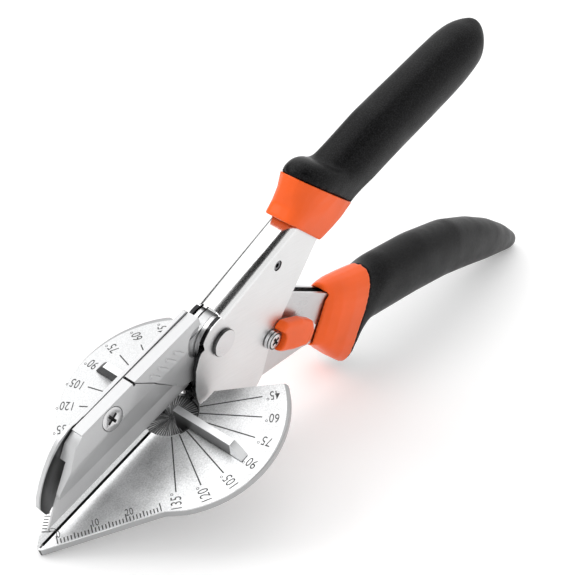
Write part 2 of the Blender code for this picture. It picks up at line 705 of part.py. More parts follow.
def upper_collar():
    front = CHANNEL_HALF + GAP + COLLAR_WALL
    start = (HANDLE_X, HANDLE_Z)
    rings = handle_rings(UPPER_COLLAR_SHARES, start, HANDLE_LENGTH, GRIP_HEIGHT, front,
                         powers=UPPER_COLLAR_BOXED, pinches=UPPER_COLLAR_PINCH_SHARES,
                         crowns=UPPER_COLLAR_CROWN_BOXED)
    return cut(solid("upper_collar", rings), upper_tang_space())


def upper_grip():
    start = (HANDLE_X, HANDLE_Z)
    rings = handle_rings(UPPER_GRIP_SHARES, start, HANDLE_LENGTH, GRIP_HEIGHT, 0, SEAM,
                         powers=UPPER_GRIP_BOXED)
    return cut(solid("upper_grip", rings), upper_tang_space())


def upper_tang_space():
    half = CHANNEL_HALF + GAP
    return side_plate("tang_space", grown(channel_outline(), GAP), -half, half)


def lower_collar():
    front = ARM_HALF + GAP + COLLAR_WALL
    size = LOWER_LENGTH
    bows = [LOWER_BOW * i / 4 for i in range(5)]
    rings = handle_rings(LOWER_COLLAR_SHARES, LOWER_START, size, size, front, 0, bows, LOWER_COLLAR_BOXED)
    return cut(solid("lower_collar", rings, bowed_cap), lower_tang_space())


def lower_grip():
    size = LOWER_LENGTH
    bows = [LOWER_BOW * (1 - i / 4) for i in range(4)]
    rings = handle_rings(LOWER_GRIP_SHARES, LOWER_START, size, size, 0, SEAM, bows, LOWER_GRIP_BOXED)
    return cut(solid("lower_grip", rings, bowed_cap), lower_tang_space())


def lower_tang_space():
    half = ARM_HALF + GAP
    return side_plate("tang_space", grown(arm_outline(), GAP), -half, half)


# Lower arm
def arm_under():
    front = placed(ARM_FRONT_SHARES + (ARM_BOTTOM_SHARE,), PIVOT, ARM_REACH, ARM_DROP)
    tang = placed(LOWER_TANG_UNDER_SHARES[::-1], LOWER_START, LOWER_LENGTH, LOWER_LENGTH)
    return front + tang


def arm_over():
    top = placed(ARM_TOP_SHARES, PIVOT, ARM_REACH, ARM_DROP)
    return top + placed(LOWER_TANG_TOP_SHARES, LOWER_START, LOWER_LENGTH, LOWER_LENGTH)


def arm_outline():
    under = arm_under()
    over = arm_over()
    first = atan2(over[0][1] - PIVOT_Z, over[0][0] - PIVOT_X)
    last = atan2(under[0][1] - PIVOT_Z, under[0][0] - PIVOT_X) + 2 * pi
    eye = arc(PIVOT, ARM_EYE_R, first, last, 2 * ARC_STEPS)
    return eye + under[1:] + over[:0:-1]


def lower_arm():
    arm = side_plate("lower_arm", arm_outline(), -ARM_HALF, ARM_HALF)
    under = arm_under()
    over = arm_over()
    inner = grown(under + [(x, z + OVERRUN) for x, z in over[::-1]], -ARM_WALL)
    end = Vector(inner[len(under) - 1]) - Vector(inner[len(under) - 2])
    tail = tuple(Vector(inner[len(under) - 1]) + end)
    trough = inner[:len(under) - 1] + [tail, (tail[0] + OVERRUN, tail[1] + TANG_HEIGHT + OVERRUN)]
    trough += [(x + OVERRUN, z + OVERRUN) for x, z in over[::-1]]
    cut(arm, side_plate("trough", trough, -ARM_INNER, ARM_INNER))
    space = ARM_EYE_R + GAP
    cut(arm, cross_rod("lug_space", PIVOT, ((-ARM_INNER, space), (ARM_INNER, space)), ROUND_SIDES))
    through = ARM_HALF + OVERRUN
    for place, radius in ((PIVOT, PIN_R + GAP), (HOLDER_RIVET, HOLDER_RIVET_R + GAP)):
        cut(arm, cross_rod("hole", place, ((-through, radius), (through, radius)), ROUND_SIDES))
    return arm


# Blade and its carrier
def blade_frame(along, up):
    direction = Vector((cos(BLADE_DIP), -sin(BLADE_DIP)))
    above = Vector((sin(BLADE_DIP), cos(BLADE_DIP)))
    point = Vector((-BLADE_FRONT_X, BLADE_FRONT_Z)) + direction * along + above * up
    return point.x, point.y


def blade():
    half = BLADE_THICK / 2
    edge = BLADE_EDGE_THICK / 2
    section = [(edge, 0), (half, BLADE_GRIND), (half, BLADE_HEIGHT),
               (-half, BLADE_HEIGHT), (-half, BLADE_GRIND), (-edge, 0)]
    rings = []
    for along in (0, BLADE_LENGTH):
        rings.append([(blade_frame(along, up)[0], y, blade_frame(along, up)[1]) for y, up in section])
    body = solid("blade", rings)
    slant = (BLADE_LENGTH - BLADE_BACK) / 2
    trapezoid = [blade_frame(0, 0), blade_frame(BLADE_LENGTH, 0),
                 blade_frame(BLADE_LENGTH - slant, BLADE_HEIGHT), blade_frame(slant, BLADE_HEIGHT)]
    combine(body, side_plate("trapezoid", trapezoid, -BLADE_THICK, BLADE_THICK), "INTERSECT")
    hole = BLADE_PIN_R + GAP
    for place in blade_pin_places():
        cut(body, cross_rod("notch", place, ((-BLADE_THICK, hole), (BLADE_THICK, hole))))
    return body


def blade_pin_places():
    middle = BLADE_LENGTH / 2
    up = BLADE_HEIGHT - BLADE_PIN_INSET
    return [blade_frame(middle + side * BLADE_PIN_SPACING / 2, up) for side in (-1, 1)]


def blade_pin(name, place):
    end = ARM_HALF - GAP
    return cross_rod(name, place, ((-BLADE_THICK / 2, BLADE_PIN_R), (end, BLADE_PIN_R)))


def carrier_prism(name, section, front, rear):
    rings = []
    for x in (front, rear):
        rings.append([(x, y, under_line(x) if z is None else z) for y, z in section])
    return solid(name, rings)


def clamp_cover():
    inner = -BLADE_THICK / 2 - GAP
    section = [(TOP_SEAM_Y, CARRIER_TOP), (-TOP_EDGE_Y, CARRIER_TOP), (-RIDGE_Y, RIDGE_Z),
               (-COVER_UNDER_Y, None), (inner, None), (inner, CARRIER_STEP_Z), (TOP_SEAM_Y, CARRIER_STEP_Z)]
    cover = carrier_prism("clamp_cover", section, -CARRIER_FRONT - OVERRUN, LUG_FRONT + OVERRUN)
    front = placed(COVER_FRONT_SHARES, (0, 0), CARRIER_FRONT, CARRIER_TOP)
    rear = placed(COVER_REAR_SHARES, (0, 0), CARRIER_FRONT, CARRIER_TOP)
    combine(cover, side_plate("cover_side", front + rear, -OVERRUN, OVERRUN), "INTERSECT")
    hole = CLAMP_SHANK_R + GAP
    sink = CLAMP_HEAD_R + GAP
    lip = CLAMP_HEAD_DEPTH / 4
    profile = ((-OVERRUN, sink), (lip, sink), (CLAMP_HEAD_DEPTH, hole + GAP),
               (CLAMP_HEAD_DEPTH + OVERRUN, hole + GAP))
    return cut(cover, facet_rod("screw_seat", profile))


def facet_rod(name, profile):
    rings = []
    for depth, radius in profile:
        ring = []
        for along, up in circle((0, 0), radius, SMALL_SIDES):
            y = FACET_Y + depth * cos(FACET_TILT) + up * sin(FACET_TILT)
            z = CLAMP_Z - depth * sin(FACET_TILT) + up * cos(FACET_TILT)
            ring.append((CLAMP_X + along, y, z))
        rings.append(ring)
    return solid(name, rings)


def clamp_screw():
    length = FACET_DEPTH - GAP
    lip = CLAMP_HEAD_DEPTH / 4
    profile = ((0, CLAMP_HEAD_R), (lip, CLAMP_HEAD_R), (CLAMP_HEAD_DEPTH, CLAMP_SHANK_R),
               (length, CLAMP_SHANK_R))
    return facet_rod("clamp_screw", profile)


def rear_outline(top=CARRIER_TOP):
    radius = CHEEK_R + CARRIER_ARC_GAP
    low = under_line(PIVOT_X - radius)
    first = pi + atan2(PIVOT_Z - low, radius)
    last = pi - atan2(sqrt(radius ** 2 - CARRIER_REAR_GAP ** 2), CARRIER_REAR_GAP)
    rear = arc(PIVOT, radius, first, last)
    return rear + [(CARRIER_REAR, top - CARRIER_CORNER), (CARRIER_REAR - CARRIER_CORNER, top)]


def rear_shroud():
    section = [(TOP_SEAM_Y, CARRIER_TOP), (-TOP_EDGE_Y, CARRIER_TOP), (-RIDGE_Y, RIDGE_Z),
               (-SHROUD_UNDER_Y, None), (-SHROUD_INNER_Y, None), (-SHROUD_INNER_Y, CARRIER_STEP_Z),
               (TOP_SEAM_Y, CARRIER_STEP_Z)]
    shroud = carrier_prism("rear_shroud", section, -CARRIER_FRONT, CARRIER_REAR + OVERRUN)
    cover_rear = placed(COVER_REAR_SHARES, (0, 0), CARRIER_FRONT, CARRIER_TOP)
    parting = [(x + SEAM, z) for x, z in cover_rear]
    rear = rear_outline()
    side = rear[:-2] + [(CARRIER_REAR, CARRIER_TOP + OVERRUN)] + parting[::-1]
    combine(shroud, side_plate("shroud_side", side, -OVERRUN, OVERRUN), "INTERSECT")
    heel = placed(HEEL_SHARES, (0, 0), CARRIER_FRONT, CARRIER_TOP)
    fuse(shroud, side_plate("heel", heel, -HEEL_Y, -SHROUD_INNER_Y))
    scoop = (SCOOP_SHARE[0] * CARRIER_FRONT, SCOOP_SHARE[1] * CARRIER_TOP)
    near = ((-OVERRUN, SCOOP_R), (-SHROUD_INNER_Y + GAP, SCOOP_R))
    cut(shroud, cross_rod("scoop", scoop, near))
    for i in range(RIB_COUNT):
        fuse(shroud, shroud_rib(RIB_FIRST_X - i * RIB_PITCH))
    return shroud


def shroud_rib(x):
    half_long = RIB_LENGTH / 2
    half_wide = RIB_WIDTH / 2
    outline = rounded([(-half_long, -half_wide), (half_long, -half_wide),
                       (half_long, half_wide), (-half_long, half_wide)], half_wide)
    rings = []
    for depth, share in ((-RIB_STAND, 0.7), (RIB_STAND / 2, 1.1)):
        ring = []
        for u, w in outline:
            along = u * sin(RIB_LEAN) + w * share * cos(RIB_LEAN)
            up = w * share * sin(RIB_LEAN) - u * cos(RIB_LEAN)
            drop = CARRIER_TOP - RIB_Z - up
            y = -TOP_EDGE_Y - drop * tan(FACET_TILT) + depth
            ring.append((x + along, y, RIB_Z + up))
        rings.append(ring)
    return solid("rib", rings)


def blade_holder():
    outer = placed(GUARD_OUTER_SHARES, (0, 0), CARRIER_FRONT, CARRIER_TOP)
    inner = placed(GUARD_INNER_SHARES, (0, 0), CARRIER_FRONT, CARRIER_TOP)
    outline = rear_outline(CARRIER_TOP + HOLDER_LIP) + outer + inner
    thin = TOP_SEAM_Y + GAP
    plate = side_plate("blade_holder", outline, thin, ARM_HALF)
    step = CARRIER_STEP_Z - GAP
    front_x = COVER_FRONT_SHARES[3][0] * CARRIER_FRONT + PAD_SETBACK
    top_x = COVER_FRONT_SHARES[2][0] * CARRIER_FRONT + PAD_SETBACK
    rear = [(x, z) for x, z in rear_outline() if z < step]
    pad = rear + [(rear[-1][0], step), (top_x, step), (front_x, under_line(front_x))]
    fuse(plate, side_plate("pad", pad, BLADE_THICK / 2 + GAP, ARM_HALF - GAP))
    half = LUG_WIDTH / 2
    eye = arc(PIVOT, ARM_EYE_R - GAP, radians(-110), radians(115), 2 * ARC_STEPS)
    lug = eye + [(LUG_FRONT, LUG_TOP), (LUG_FRONT, under_line(LUG_FRONT))]
    fuse(plate, side_plate("lug", lug, -half, half))
    through = ARM_HALF + OVERRUN
    holes = [(PIVOT, PIN_R + GAP), (HOLDER_RIVET, HOLDER_RIVET_R + GAP)]
    holes += [(place, BLADE_PIN_R + GAP) for place in blade_pin_places()]
    for place, radius in holes:
        cut(plate, cross_rod("hole", place, ((-through, radius), (through, radius)), ROUND_SIDES))
    hole = CLAMP_SHANK_R + GAP
    return cut(plate, facet_rod("screw_hole", ((0, hole), (FACET_DEPTH + OVERRUN, hole))))


def holder_rivet():
    profile = ((-ARM_HALF, HOLDER_RIVET_R), (ARM_HALF, HOLDER_RIVET_R))
    return cross_rod("holder_rivet", HOLDER_RIVET, profile)


# Latch
def latch_points(shares):
    direction = Vector((cos(LATCH_ANGLE), sin(LATCH_ANGLE)))
    up = Vector((-direction.y, direction.x))
    places = [Vector(EAR) + direction * u * LATCH_REACH + up * w * LATCH_REACH for u, w in shares]
    return [tuple(place) for place in places]


def hook_outline(extra=0):
    half = HOOK_WIDTH / 2 + extra
    reach = LATCH_REACH + extra
    turn = atan2(HOOK_WIDTH / 2, sqrt(HOOK_EYE_R ** 2 - (HOOK_WIDTH / 2) ** 2))
    eye = arc(EAR, HOOK_EYE_R, LATCH_ANGLE + turn, LATCH_ANGLE + 2 * pi - turn, 2 * ARC_STEPS)
    side = half / LATCH_REACH
    tip = reach / LATCH_REACH
    strip = latch_points([(tip - side, -side), (tip, -side / 2), (tip, side / 2), (tip - side, side)])
    return eye + strip


def latch_hook():
    near = -CHEEK_FACE - HOOK_THICK
    plate = side_plate("latch_hook", hook_outline(), near, -CHEEK_FACE)
    hole = LATCH_SCREW_R + GAP
    return cut(plate, cross_rod("hole", EAR, ((near - OVERRUN, hole), (0, hole))))


def latch_lever():
    outline = latch_points(LEVER_SHARES)
    near = -CHEEK_FACE - LEVER_THICK
    rings = []
    for y, inset in ((near, LEVER_EDGE_R), (near + LEVER_EDGE_R / 3, LEVER_EDGE_R / 3),
                     (near + LEVER_EDGE_R, 0), (-CHEEK_FACE, 0)):
        rings.append([(x, y, z) for x, z in rounded(grown(outline, -inset), LEVER_EDGE_R)])
    lever = solid("latch_lever", rings)
    half = HOOK_WIDTH / 2 + GAP
    side = half / LATCH_REACH
    groove = latch_points([(0, -side), (1 + side, -side), (1 + side, side), (0, side)])
    depth = -CHEEK_FACE - HOOK_THICK - GAP
    eye = HOOK_EYE_R + GAP
    cut(lever, side_plate("groove", groove, depth, OVERRUN))
    return cut(lever, cross_rod("eye", EAR, ((near - OVERRUN, eye), (0, eye)), ROUND_SIDES))


def latch_screw():
    seat = -CHEEK_FACE - HOOK_THICK - GAP
    face = seat - LATCH_HEAD_THICK
    edge = LATCH_HEAD_THICK / 3
    profile = ((face, LATCH_HEAD_R - edge), (face + edge, LATCH_HEAD_R), (seat, LATCH_HEAD_R),
               (seat, LATCH_SCREW_R), (-CHANNEL_INNER, LATCH_SCREW_R))
    return cross_rod("latch_screw", EAR, profile)


# Whole tool, laid on its tip and its lower grip
def rest_pitch(pieces):
    tip = Vector((-NOSE_REACH, -PLATE_THICK))
    steepest = 0
    for piece in pieces:
        for vert in piece.data.vertices:
            place = piece.matrix_world @ vert.co
            if place.x > 0:
                steepest = max(steepest, atan2(tip.y - place.z, place.x - tip.x))
    return steepest


def lay_down(frame, pieces):
    bpy.context.view_layer.update()
    frame.rotation_euler.y = -rest_pitch(pieces)
    bpy.context.view_layer.update()
    places = [piece.matrix_world @ vert.co for piece in pieces for vert in piece.data.vertices]
    low = Vector([min(place[i] for place in places) for i in range(3)])
    high = Vector([max(place[i] for place in places) for i in range(3)])
    frame.location = (-(low.x + high.x) / 2, -(low.y + high.y) / 2, -low.z)
    bpy.context.view_layer.update()


def main():
    for item in list(bpy.data.objects):
        bpy.data.objects.remove(item)

    frame = axis_empty("tool_frame", (0, 0, 0))
    fence_axis = axis_empty("fence_axis", (0, 0, 0), frame)
    jaw_axis = axis_empty("jaw_axis", (PIVOT_X, 0, PIVOT_Z), frame)
    latch_axis = axis_empty("latch_axis", (EAR[0], 0, EAR[1]), frame)

    cast = material("satin_cast_metal", (0.52, 0.53, 0.54), 0.38, 1)
    sheet = material("nickel_plated_sheet", (0.72, 0.72, 0.72), 0.25, 1)
    bright = material("bright_steel", (0.78, 0.78, 0.79), 0.18, 1)
    die_cast = material("polished_die_cast", (0.62, 0.63, 0.65), 0.28, 1)
    blade_steel = material("blade_steel", (0.6, 0.6, 0.61), 0.3, 1)
    spring_steel = material("spring_steel", (0.3, 0.3, 0.31), 0.35, 1)
    orange = material("orange_plastic", (0.95, 0.12, 0.01), 0.4, 0)
    black = material("black_grained_plastic", (0.028, 0.028, 0.03), 0.62, 0)

    centre = (0, 0, 0)
    pivot = (PIVOT_X, 0, PIVOT_Z)
    ear = (EAR[0], 0, EAR[1])
    roll = (ROLL_PIN[0], 0, ROLL_PIN[1])
    handle = (HANDLE_X, 0, HANDLE_Z)
    finish(base_plate(), frame, centre, cast)
    finish(fence(), fence_axis, centre, cast)
    finish(fence_washer(), fence_axis, centre, bright)
    finish(fence_screw(), fence_axis, centre, bright)
    finish(upper_channel(), frame, pivot, sheet)
    finish(pivot_pin(), frame, pivot, bright)
    finish(pivot_washer(), frame, pivot, bright)
    for i, place in enumerate(RIVET_PLACES):
        finish(base_rivet(f"base_rivet_{i + 1}", place), frame, (place[0], 0, place[1]), bright)
    finish(roll_pin(), frame, roll, spring_steel)
    finish(return_spring(), frame, roll, spring_steel)
    finish(upper_collar(), frame, handle, orange)
    finish(upper_grip(), frame, handle, black)
    finish(lower_arm(), jaw_axis, pivot, sheet)
    finish(lower_collar(), jaw_axis, pivot, orange)
    finish(lower_grip(), jaw_axis, pivot, black)
    finish(blade_holder(), jaw_axis, pivot, die_cast)
    finish(holder_rivet(), jaw_axis, (HOLDER_RIVET[0], 0, HOLDER_RIVET[1]), bright)
    finish(clamp_cover(), jaw_axis, pivot, die_cast)
    finish(rear_shroud(), jaw_axis, pivot, die_cast)
    finish(clamp_screw(), jaw_axis, (CLAMP_X, FACET_Y, CLAMP_Z), bright)
    finish(blade(), jaw_axis, pivot, blade_steel)
    for i, place in enumerate(blade_pin_places()):
        pin_centre = (place[0], 0, place[1])
        finish(blade_pin(f"blade_pin_{i + 1}", place), jaw_axis, pin_centre, spring_steel)
    finish(latch_hook(), latch_axis, ear, bright)
    finish(latch_lever(), latch_axis, ear, orange)
    finish(latch_screw(), frame, ear, bright)

    pieces = [item for item in bpy.data.objects if item.type == "MESH"]
    lay_down(frame, pieces)
    print("pitch of the tool, degrees:", round(degrees(-frame.rotation_euler.y), 2))
    print("triangles:", sum(len(f.vertices) - 2 for p in pieces for f in p.data.polygons))


main()
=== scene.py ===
import json
import math
import bpy
from mathutils import Euler, Matrix, Vector
from mathutils.bvhtree import BVHTree

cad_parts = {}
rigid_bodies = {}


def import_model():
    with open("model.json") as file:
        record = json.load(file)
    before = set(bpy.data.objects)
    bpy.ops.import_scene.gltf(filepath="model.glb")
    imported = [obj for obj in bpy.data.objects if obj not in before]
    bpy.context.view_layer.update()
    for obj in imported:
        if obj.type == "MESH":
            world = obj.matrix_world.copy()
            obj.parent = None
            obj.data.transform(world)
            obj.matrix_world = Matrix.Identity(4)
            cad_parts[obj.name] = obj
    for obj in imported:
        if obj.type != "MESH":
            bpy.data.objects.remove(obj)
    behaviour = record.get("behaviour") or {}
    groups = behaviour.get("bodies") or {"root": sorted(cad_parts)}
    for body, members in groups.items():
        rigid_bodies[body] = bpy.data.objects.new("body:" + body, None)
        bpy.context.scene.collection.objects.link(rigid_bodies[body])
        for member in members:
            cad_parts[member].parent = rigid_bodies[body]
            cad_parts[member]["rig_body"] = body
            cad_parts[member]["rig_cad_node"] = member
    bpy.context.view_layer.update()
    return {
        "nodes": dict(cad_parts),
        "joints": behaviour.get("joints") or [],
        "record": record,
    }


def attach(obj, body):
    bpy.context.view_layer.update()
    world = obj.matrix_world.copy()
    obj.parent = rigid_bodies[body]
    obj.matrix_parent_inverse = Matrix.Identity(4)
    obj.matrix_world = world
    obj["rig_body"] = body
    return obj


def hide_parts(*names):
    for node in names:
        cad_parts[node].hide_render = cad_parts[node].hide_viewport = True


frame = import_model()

nodes = frame["nodes"]
bodyOf = {n: body for body, names in frame["record"]["behaviour"]["bodies"].items() for n in names}
slotOf = {part["node"]: part["material_slot"] for part in frame["record"]["subparts"]}
print("frame loaded:", len(nodes), "nodes")

# The tool's own axes: x along the slot to the handles, z up off the base, origin on the fence's axis
fenceJoint = next(j for j in frame["joints"] if j["name"] == "fence_turn")
baseUp = Vector(fenceJoint["axis"]).normalized()
slotWay = Vector((0, 1, 0)).cross(baseUp)
toolTurn = Matrix((slotWay, (0, 1, 0), baseUp)).transposed()
toolFrame = Matrix.Translation(fenceJoint["pos_m"]) @ toolTurn.to_4x4()
toTool = toolFrame.inverted()
sides = ((-1, "near"), (1, "far"))


# small helpers
def deselectAll():
    if bpy.context.object and bpy.context.object.mode != "OBJECT":
        bpy.ops.object.mode_set(mode="OBJECT")
    bpy.ops.object.select_all(action="DESELECT")


def selectOnly(*pieces):
    deselectAll()
    for piece in pieces:
        piece.select_set(True)
    bpy.context.view_layer.objects.active = pieces[0]


def applyPlace(piece):
    selectOnly(piece)
    bpy.ops.object.transform_apply(location=True, rotation=True, scale=True)
    return piece


def placeInTool(piece, place, turn=None):
    # moves a piece modelled round its own origin to its place in the tool's axes
    local = Matrix.Translation(place)
    if turn is not None:
        local = local @ turn.to_4x4()
    piece.matrix_world = toolFrame @ local
    return applyPlace(piece)


def runModifiers(piece):
    selectOnly(piece)
    for mod in list(piece.modifiers):
        bpy.ops.object.modifier_apply(modifier=mod.name)
    return piece


def dress(piece, name, mat, body, smoothAngle=35, evenFaces=False):
    piece.name = name
    piece.data.name = name
    piece.data.materials.clear()
    piece.data.materials.append(mat)
    selectOnly(piece)
    bpy.ops.object.shade_smooth_by_angle(angle=math.radians(smoothAngle))
    if evenFaces:
        even = piece.modifiers.new("evenNormals", "WEIGHTED_NORMAL")
        even.keep_sharp = True
        even.weight = 100
        runModifiers(piece)
    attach(piece, body)
    return piece


def toolPoints(name):
    # a CAD node's corners in the tool's axes
    return [toTool @ v.co for v in nodes[name].data.vertices]


# materials, all on Object coordinates in metres; the node helpers take a material or the world
def newMaterial(name, color, roughness, metallic):
    mat = bpy.data.materials.new(name)
    mat.use_nodes = True
    shader = mat.node_tree.nodes["Principled BSDF"]
    shader.inputs["Base Color"].default_value = (*color, 1)
    shader.inputs["Roughness"].default_value = roughness
    shader.inputs["Metallic"].default_value = metallic
    return mat, shader


def wire(mat, source, target):
    mat.node_tree.links.new(source, target)


def addNode(mat, kind, **settings):
    node = mat.node_tree.nodes.new(kind)
    for key, value in settings.items():
        setattr(node, key, value)
    return node


def objectPlace(mat, stretch=(1, 1, 1), turn=(0, 0, 0), shift=(0, 0, 0)):
    coords = addNode(mat, "ShaderNodeTexCoord")
    mapping = addNode(mat, "ShaderNodeMapping")
    mapping.inputs["Location"].default_value = shift
    mapping.inputs["Rotation"].default_value = turn
    mapping.inputs["Scale"].default_value = stretch
    wire(mat, coords.outputs["Object"], mapping.inputs["Vector"])
    return mapping.outputs["Vector"]


def addNoise(mat, place, scale, detail=3, rough=0.55):
    noise = addNode(mat, "ShaderNodeTexNoise")
    noise.inputs["Scale"].default_value = scale
    noise.inputs["Detail"].default_value = detail
    noise.inputs["Roughness"].default_value = rough
    wire(mat, place, noise.inputs["Vector"])
    return noise.outputs["Fac"]


def addLineNoise(mat, value, detail):
    # noise that changes with one number only
    noise = addNode(mat, "ShaderNodeTexNoise", noise_dimensions="1D")
    noise.inputs["Scale"].default_value = 1
    noise.inputs["Detail"].default_value = detail
    wire(mat, value, noise.inputs["W"])
    return noise.outputs["Fac"]


def mapRange(mat, value, low, high, toLow=0, toHigh=1):
    node = addNode(mat, "ShaderNodeMapRange")
    for key, number in (("From Min", low), ("From Max", high), ("To Min", toLow), ("To Max", toHigh)):
        node.inputs[key].default_value = number
    wire(mat, value, node.inputs["Value"])
    return node.outputs["Result"]


def mixColors(mat, factor, first, second):
    node = addNode(mat, "ShaderNodeMix", data_type="RGBA")
    wire(mat, factor, node.inputs["Factor"])
    for socket, color in ((node.inputs[6], first), (node.inputs[7], second)):
        if isinstance(color, tuple):
            socket.default_value = (*color, 1)
        else:
            wire(mat, color, socket)
    return node.outputs[2]


def mathOp(mat, operation, first, second=0):
    node = addNode(mat, "ShaderNodeMath", operation=operation)
    for socket, value in ((node.inputs[0], first), (node.inputs[1], second)):
        if isinstance(value, (int, float)):
            socket.default_value = value
        else:
            wire(mat, value, socket)
    return node.outputs["Value"]


def belowMask(mat, value, edge, soft):
    # 1 below the edge, 0 above it
    return mapRange(mat, value, edge - soft, edge + soft, 1, 0)


def aboveMask(mat, value, edge, soft):
    return mapRange(mat, value, edge - soft, edge + soft, 0, 1)


def allOf(mat, first, *masks):
    for mask in masks:
        first = mathOp(mat, "MULTIPLY", first, mask)
    return first


def reachOf(mat, first, second):
    # distance from the point where both are 0
    squares = [mathOp(mat, "MULTIPLY", value, value) for value in (first, second)]
    return mathOp(mat, "SQRT", mathOp(mat, "ADD", *squares))


def addBump(mat, shader, heights, previous=None):
    # each height is (value, distance in metres, strength); the last one drives the shader
    normal = previous
    for value, distance, strength in heights:
        bump = addNode(mat, "ShaderNodeBump")
        bump.inputs["Distance"].default_value = distance
        bump.inputs["Strength"].default_value = strength
        wire(mat, value, bump.inputs["Height"])
        if normal:
            wire(mat, normal, bump.inputs["Normal"])
        normal = bump.outputs["Normal"]
    wire(mat, normal, shader.inputs["Normal"])


def shade(color, factor):
    return tuple(c * factor for c in color)


def paintOver(mat, shader, mask, color):
    # the color where the mask is 1, and what was there before where it is 0
    base = shader.inputs["Base Color"]
    wire(mat, mixColors(mat, mask, base.links[0].from_socket, color), base)


# object coordinates are turned and shifted into the tool's axes
toolTilt = (0, math.atan2(slotWay.z, slotWay.x), 0)
toolShift = -(toolTurn.inverted() @ Vector(fenceJoint["pos_m"]))


def toolPlace(mat):
    return objectPlace(mat, turn=toolTilt, shift=toolShift)


def splitPlace(mat, place):
    apart = addNode(mat, "ShaderNodeSeparateXYZ")
    wire(mat, place, apart.inputs["Vector"])
    return [apart.outputs[axis] for axis in "XYZ"]


# finishes: grain, brush and cloud are noise scales, spread is how far the colour strays, bump is in metres
castFinish = {"color": (0.72, 0.725, 0.73), "roughness": 0.36, "grain": 2300, "cloud": 90, "spread": 0.4,
              "bump": 0.00003}
sheetFinish = {"color": (0.8, 0.8, 0.8), "roughness": 0.2, "brush": 5200, "cloud": 60, "spread": 0.05,
               "bump": 0.000001}
armFinish = {"color": (0.62, 0.62, 0.625), "roughness": 0.3, "brush": 4200, "cloud": 80, "spread": 0.08,
             "bump": 0.000006}
dieCastFinish = {"color": (0.6, 0.603, 0.608), "roughness": 0.4, "grain": 2400, "cloud": 70, "spread": 0.04,
                 "bump": 0.000002, "metallic": 0.6}
brightFinish = {"color": (0.76, 0.76, 0.77), "roughness": 0.16, "grain": 2800, "cloud": 160, "spread": 0.06,
                "bump": 0.000003}
bladeFinish = {"color": (0.66, 0.66, 0.665), "roughness": 0.4, "brush": 9000, "cloud": 70, "spread": 0.04,
               "bump": 0.000001, "metallic": 0.35}
screwFinish = {"color": (0.72, 0.72, 0.725), "roughness": 0.3, "grain": 2800, "cloud": 160, "spread": 0.04,
               "bump": 0.000001}
springFinish = {"color": (0.2, 0.2, 0.21), "roughness": 0.33, "grain": 4000, "cloud": 200, "spread": 0.15,
                "bump": 0.000005}


def varyMetal(mat, shader, look, fine, cloud, roughSpan):
    # fine marks and broad clouds together vary the colour and the roughness
    both = mathOp(mat, "ADD", mapRange(mat, fine, 0.3, 0.7, -1, 1), mapRange(mat, cloud, 0.3, 0.7, -1, 1))
    tone = mapRange(mat, both, -2, 2)
    dark, light = (shade(look["color"], 1 + sign * look["spread"]) for sign in (-1, 1))
    wire(mat, mixColors(mat, tone, dark, light), shader.inputs["Base Color"])
    low, high = (look["roughness"] * factor for factor in roughSpan)
    wire(mat, mapRange(mat, both, -2, 2, low, high), shader.inputs["Roughness"])


def grainedMetal(name, look):
    mat, shader = newMaterial(name, look["color"], look["roughness"], look.get("metallic", 1))
    place = objectPlace(mat)
    grain = addNoise(mat, place, look["grain"], 4, 0.6)
    cloud = addNoise(mat, place, look["cloud"], 3, 0.5)
    varyMetal(mat, shader, look, grain, cloud, (0.8, 1.25))
    addBump(mat, shader, [(cloud, look["bump"] * 4, 0.25), (grain, look["bump"], 0.6)])
    return mat, shader


def brushedMetal(name, look, stretch, turn):
    # a small stretch makes the brush marks run far along that object axis; the turn comes after it
    mat, shader = newMaterial(name, look["color"], look["roughness"], look.get("metallic", 1))
    brush = addNoise(mat, objectPlace(mat, stretch=stretch, turn=turn), look["brush"], 3, 0.6)
    cloud = addNoise(mat, objectPlace(mat), look["cloud"], 3, 0.5)
    varyMetal(mat, shader, look, brush, cloud, (0.75, 1.3))
    addBump(mat, shader, [(cloud, look["bump"] * 6, 0.2), (brush, look["bump"], 0.5)])
    return mat, shader


channelMetal, channelShader = brushedMetal("polishedChannelSheet", sheetFinish, (0.03, 1, 1), toolTilt)
armMetal, _ = brushedMetal("satinArmSheet", armFinish, (0.05, 1, 1), (0, math.radians(-10), 0))
brightSteel, _ = grainedMetal("brightPlatedSteel", brightFinish)
screwSteel, _ = grainedMetal("satinScrewSteel", screwFinish)
bladeSteel, _ = brushedMetal("groundBladeSteel", bladeFinish, (1, 1, 0.04), toolTilt)
springSteel, _ = grainedMetal("darkSpringSteel", springFinish)

# marks on the metal, mostly painted shade: places and widths in metres in the tool's axes, tones and shades
# as shares of the finish's colour
baseMarks = {"pocketRadius": 0.00885, "slotHalf": 0.0005, "recessShadeTop": -0.00012, "recessShadeFloor": -0.0061,
             "recessShade": (0.012, 0.012, 0.012), "rimWidth": 0.00025, "rimStart": -0.0244, "rimShade": 0.42,
             "farShadeStart": 0.01, "farWingShades": (0.64, 0.8), "underBladeShadeWidth": 0.003, "underBladeShades": (0.42, 0.6),
             "wallTop": -0.00045, "wallShade": 0.6}


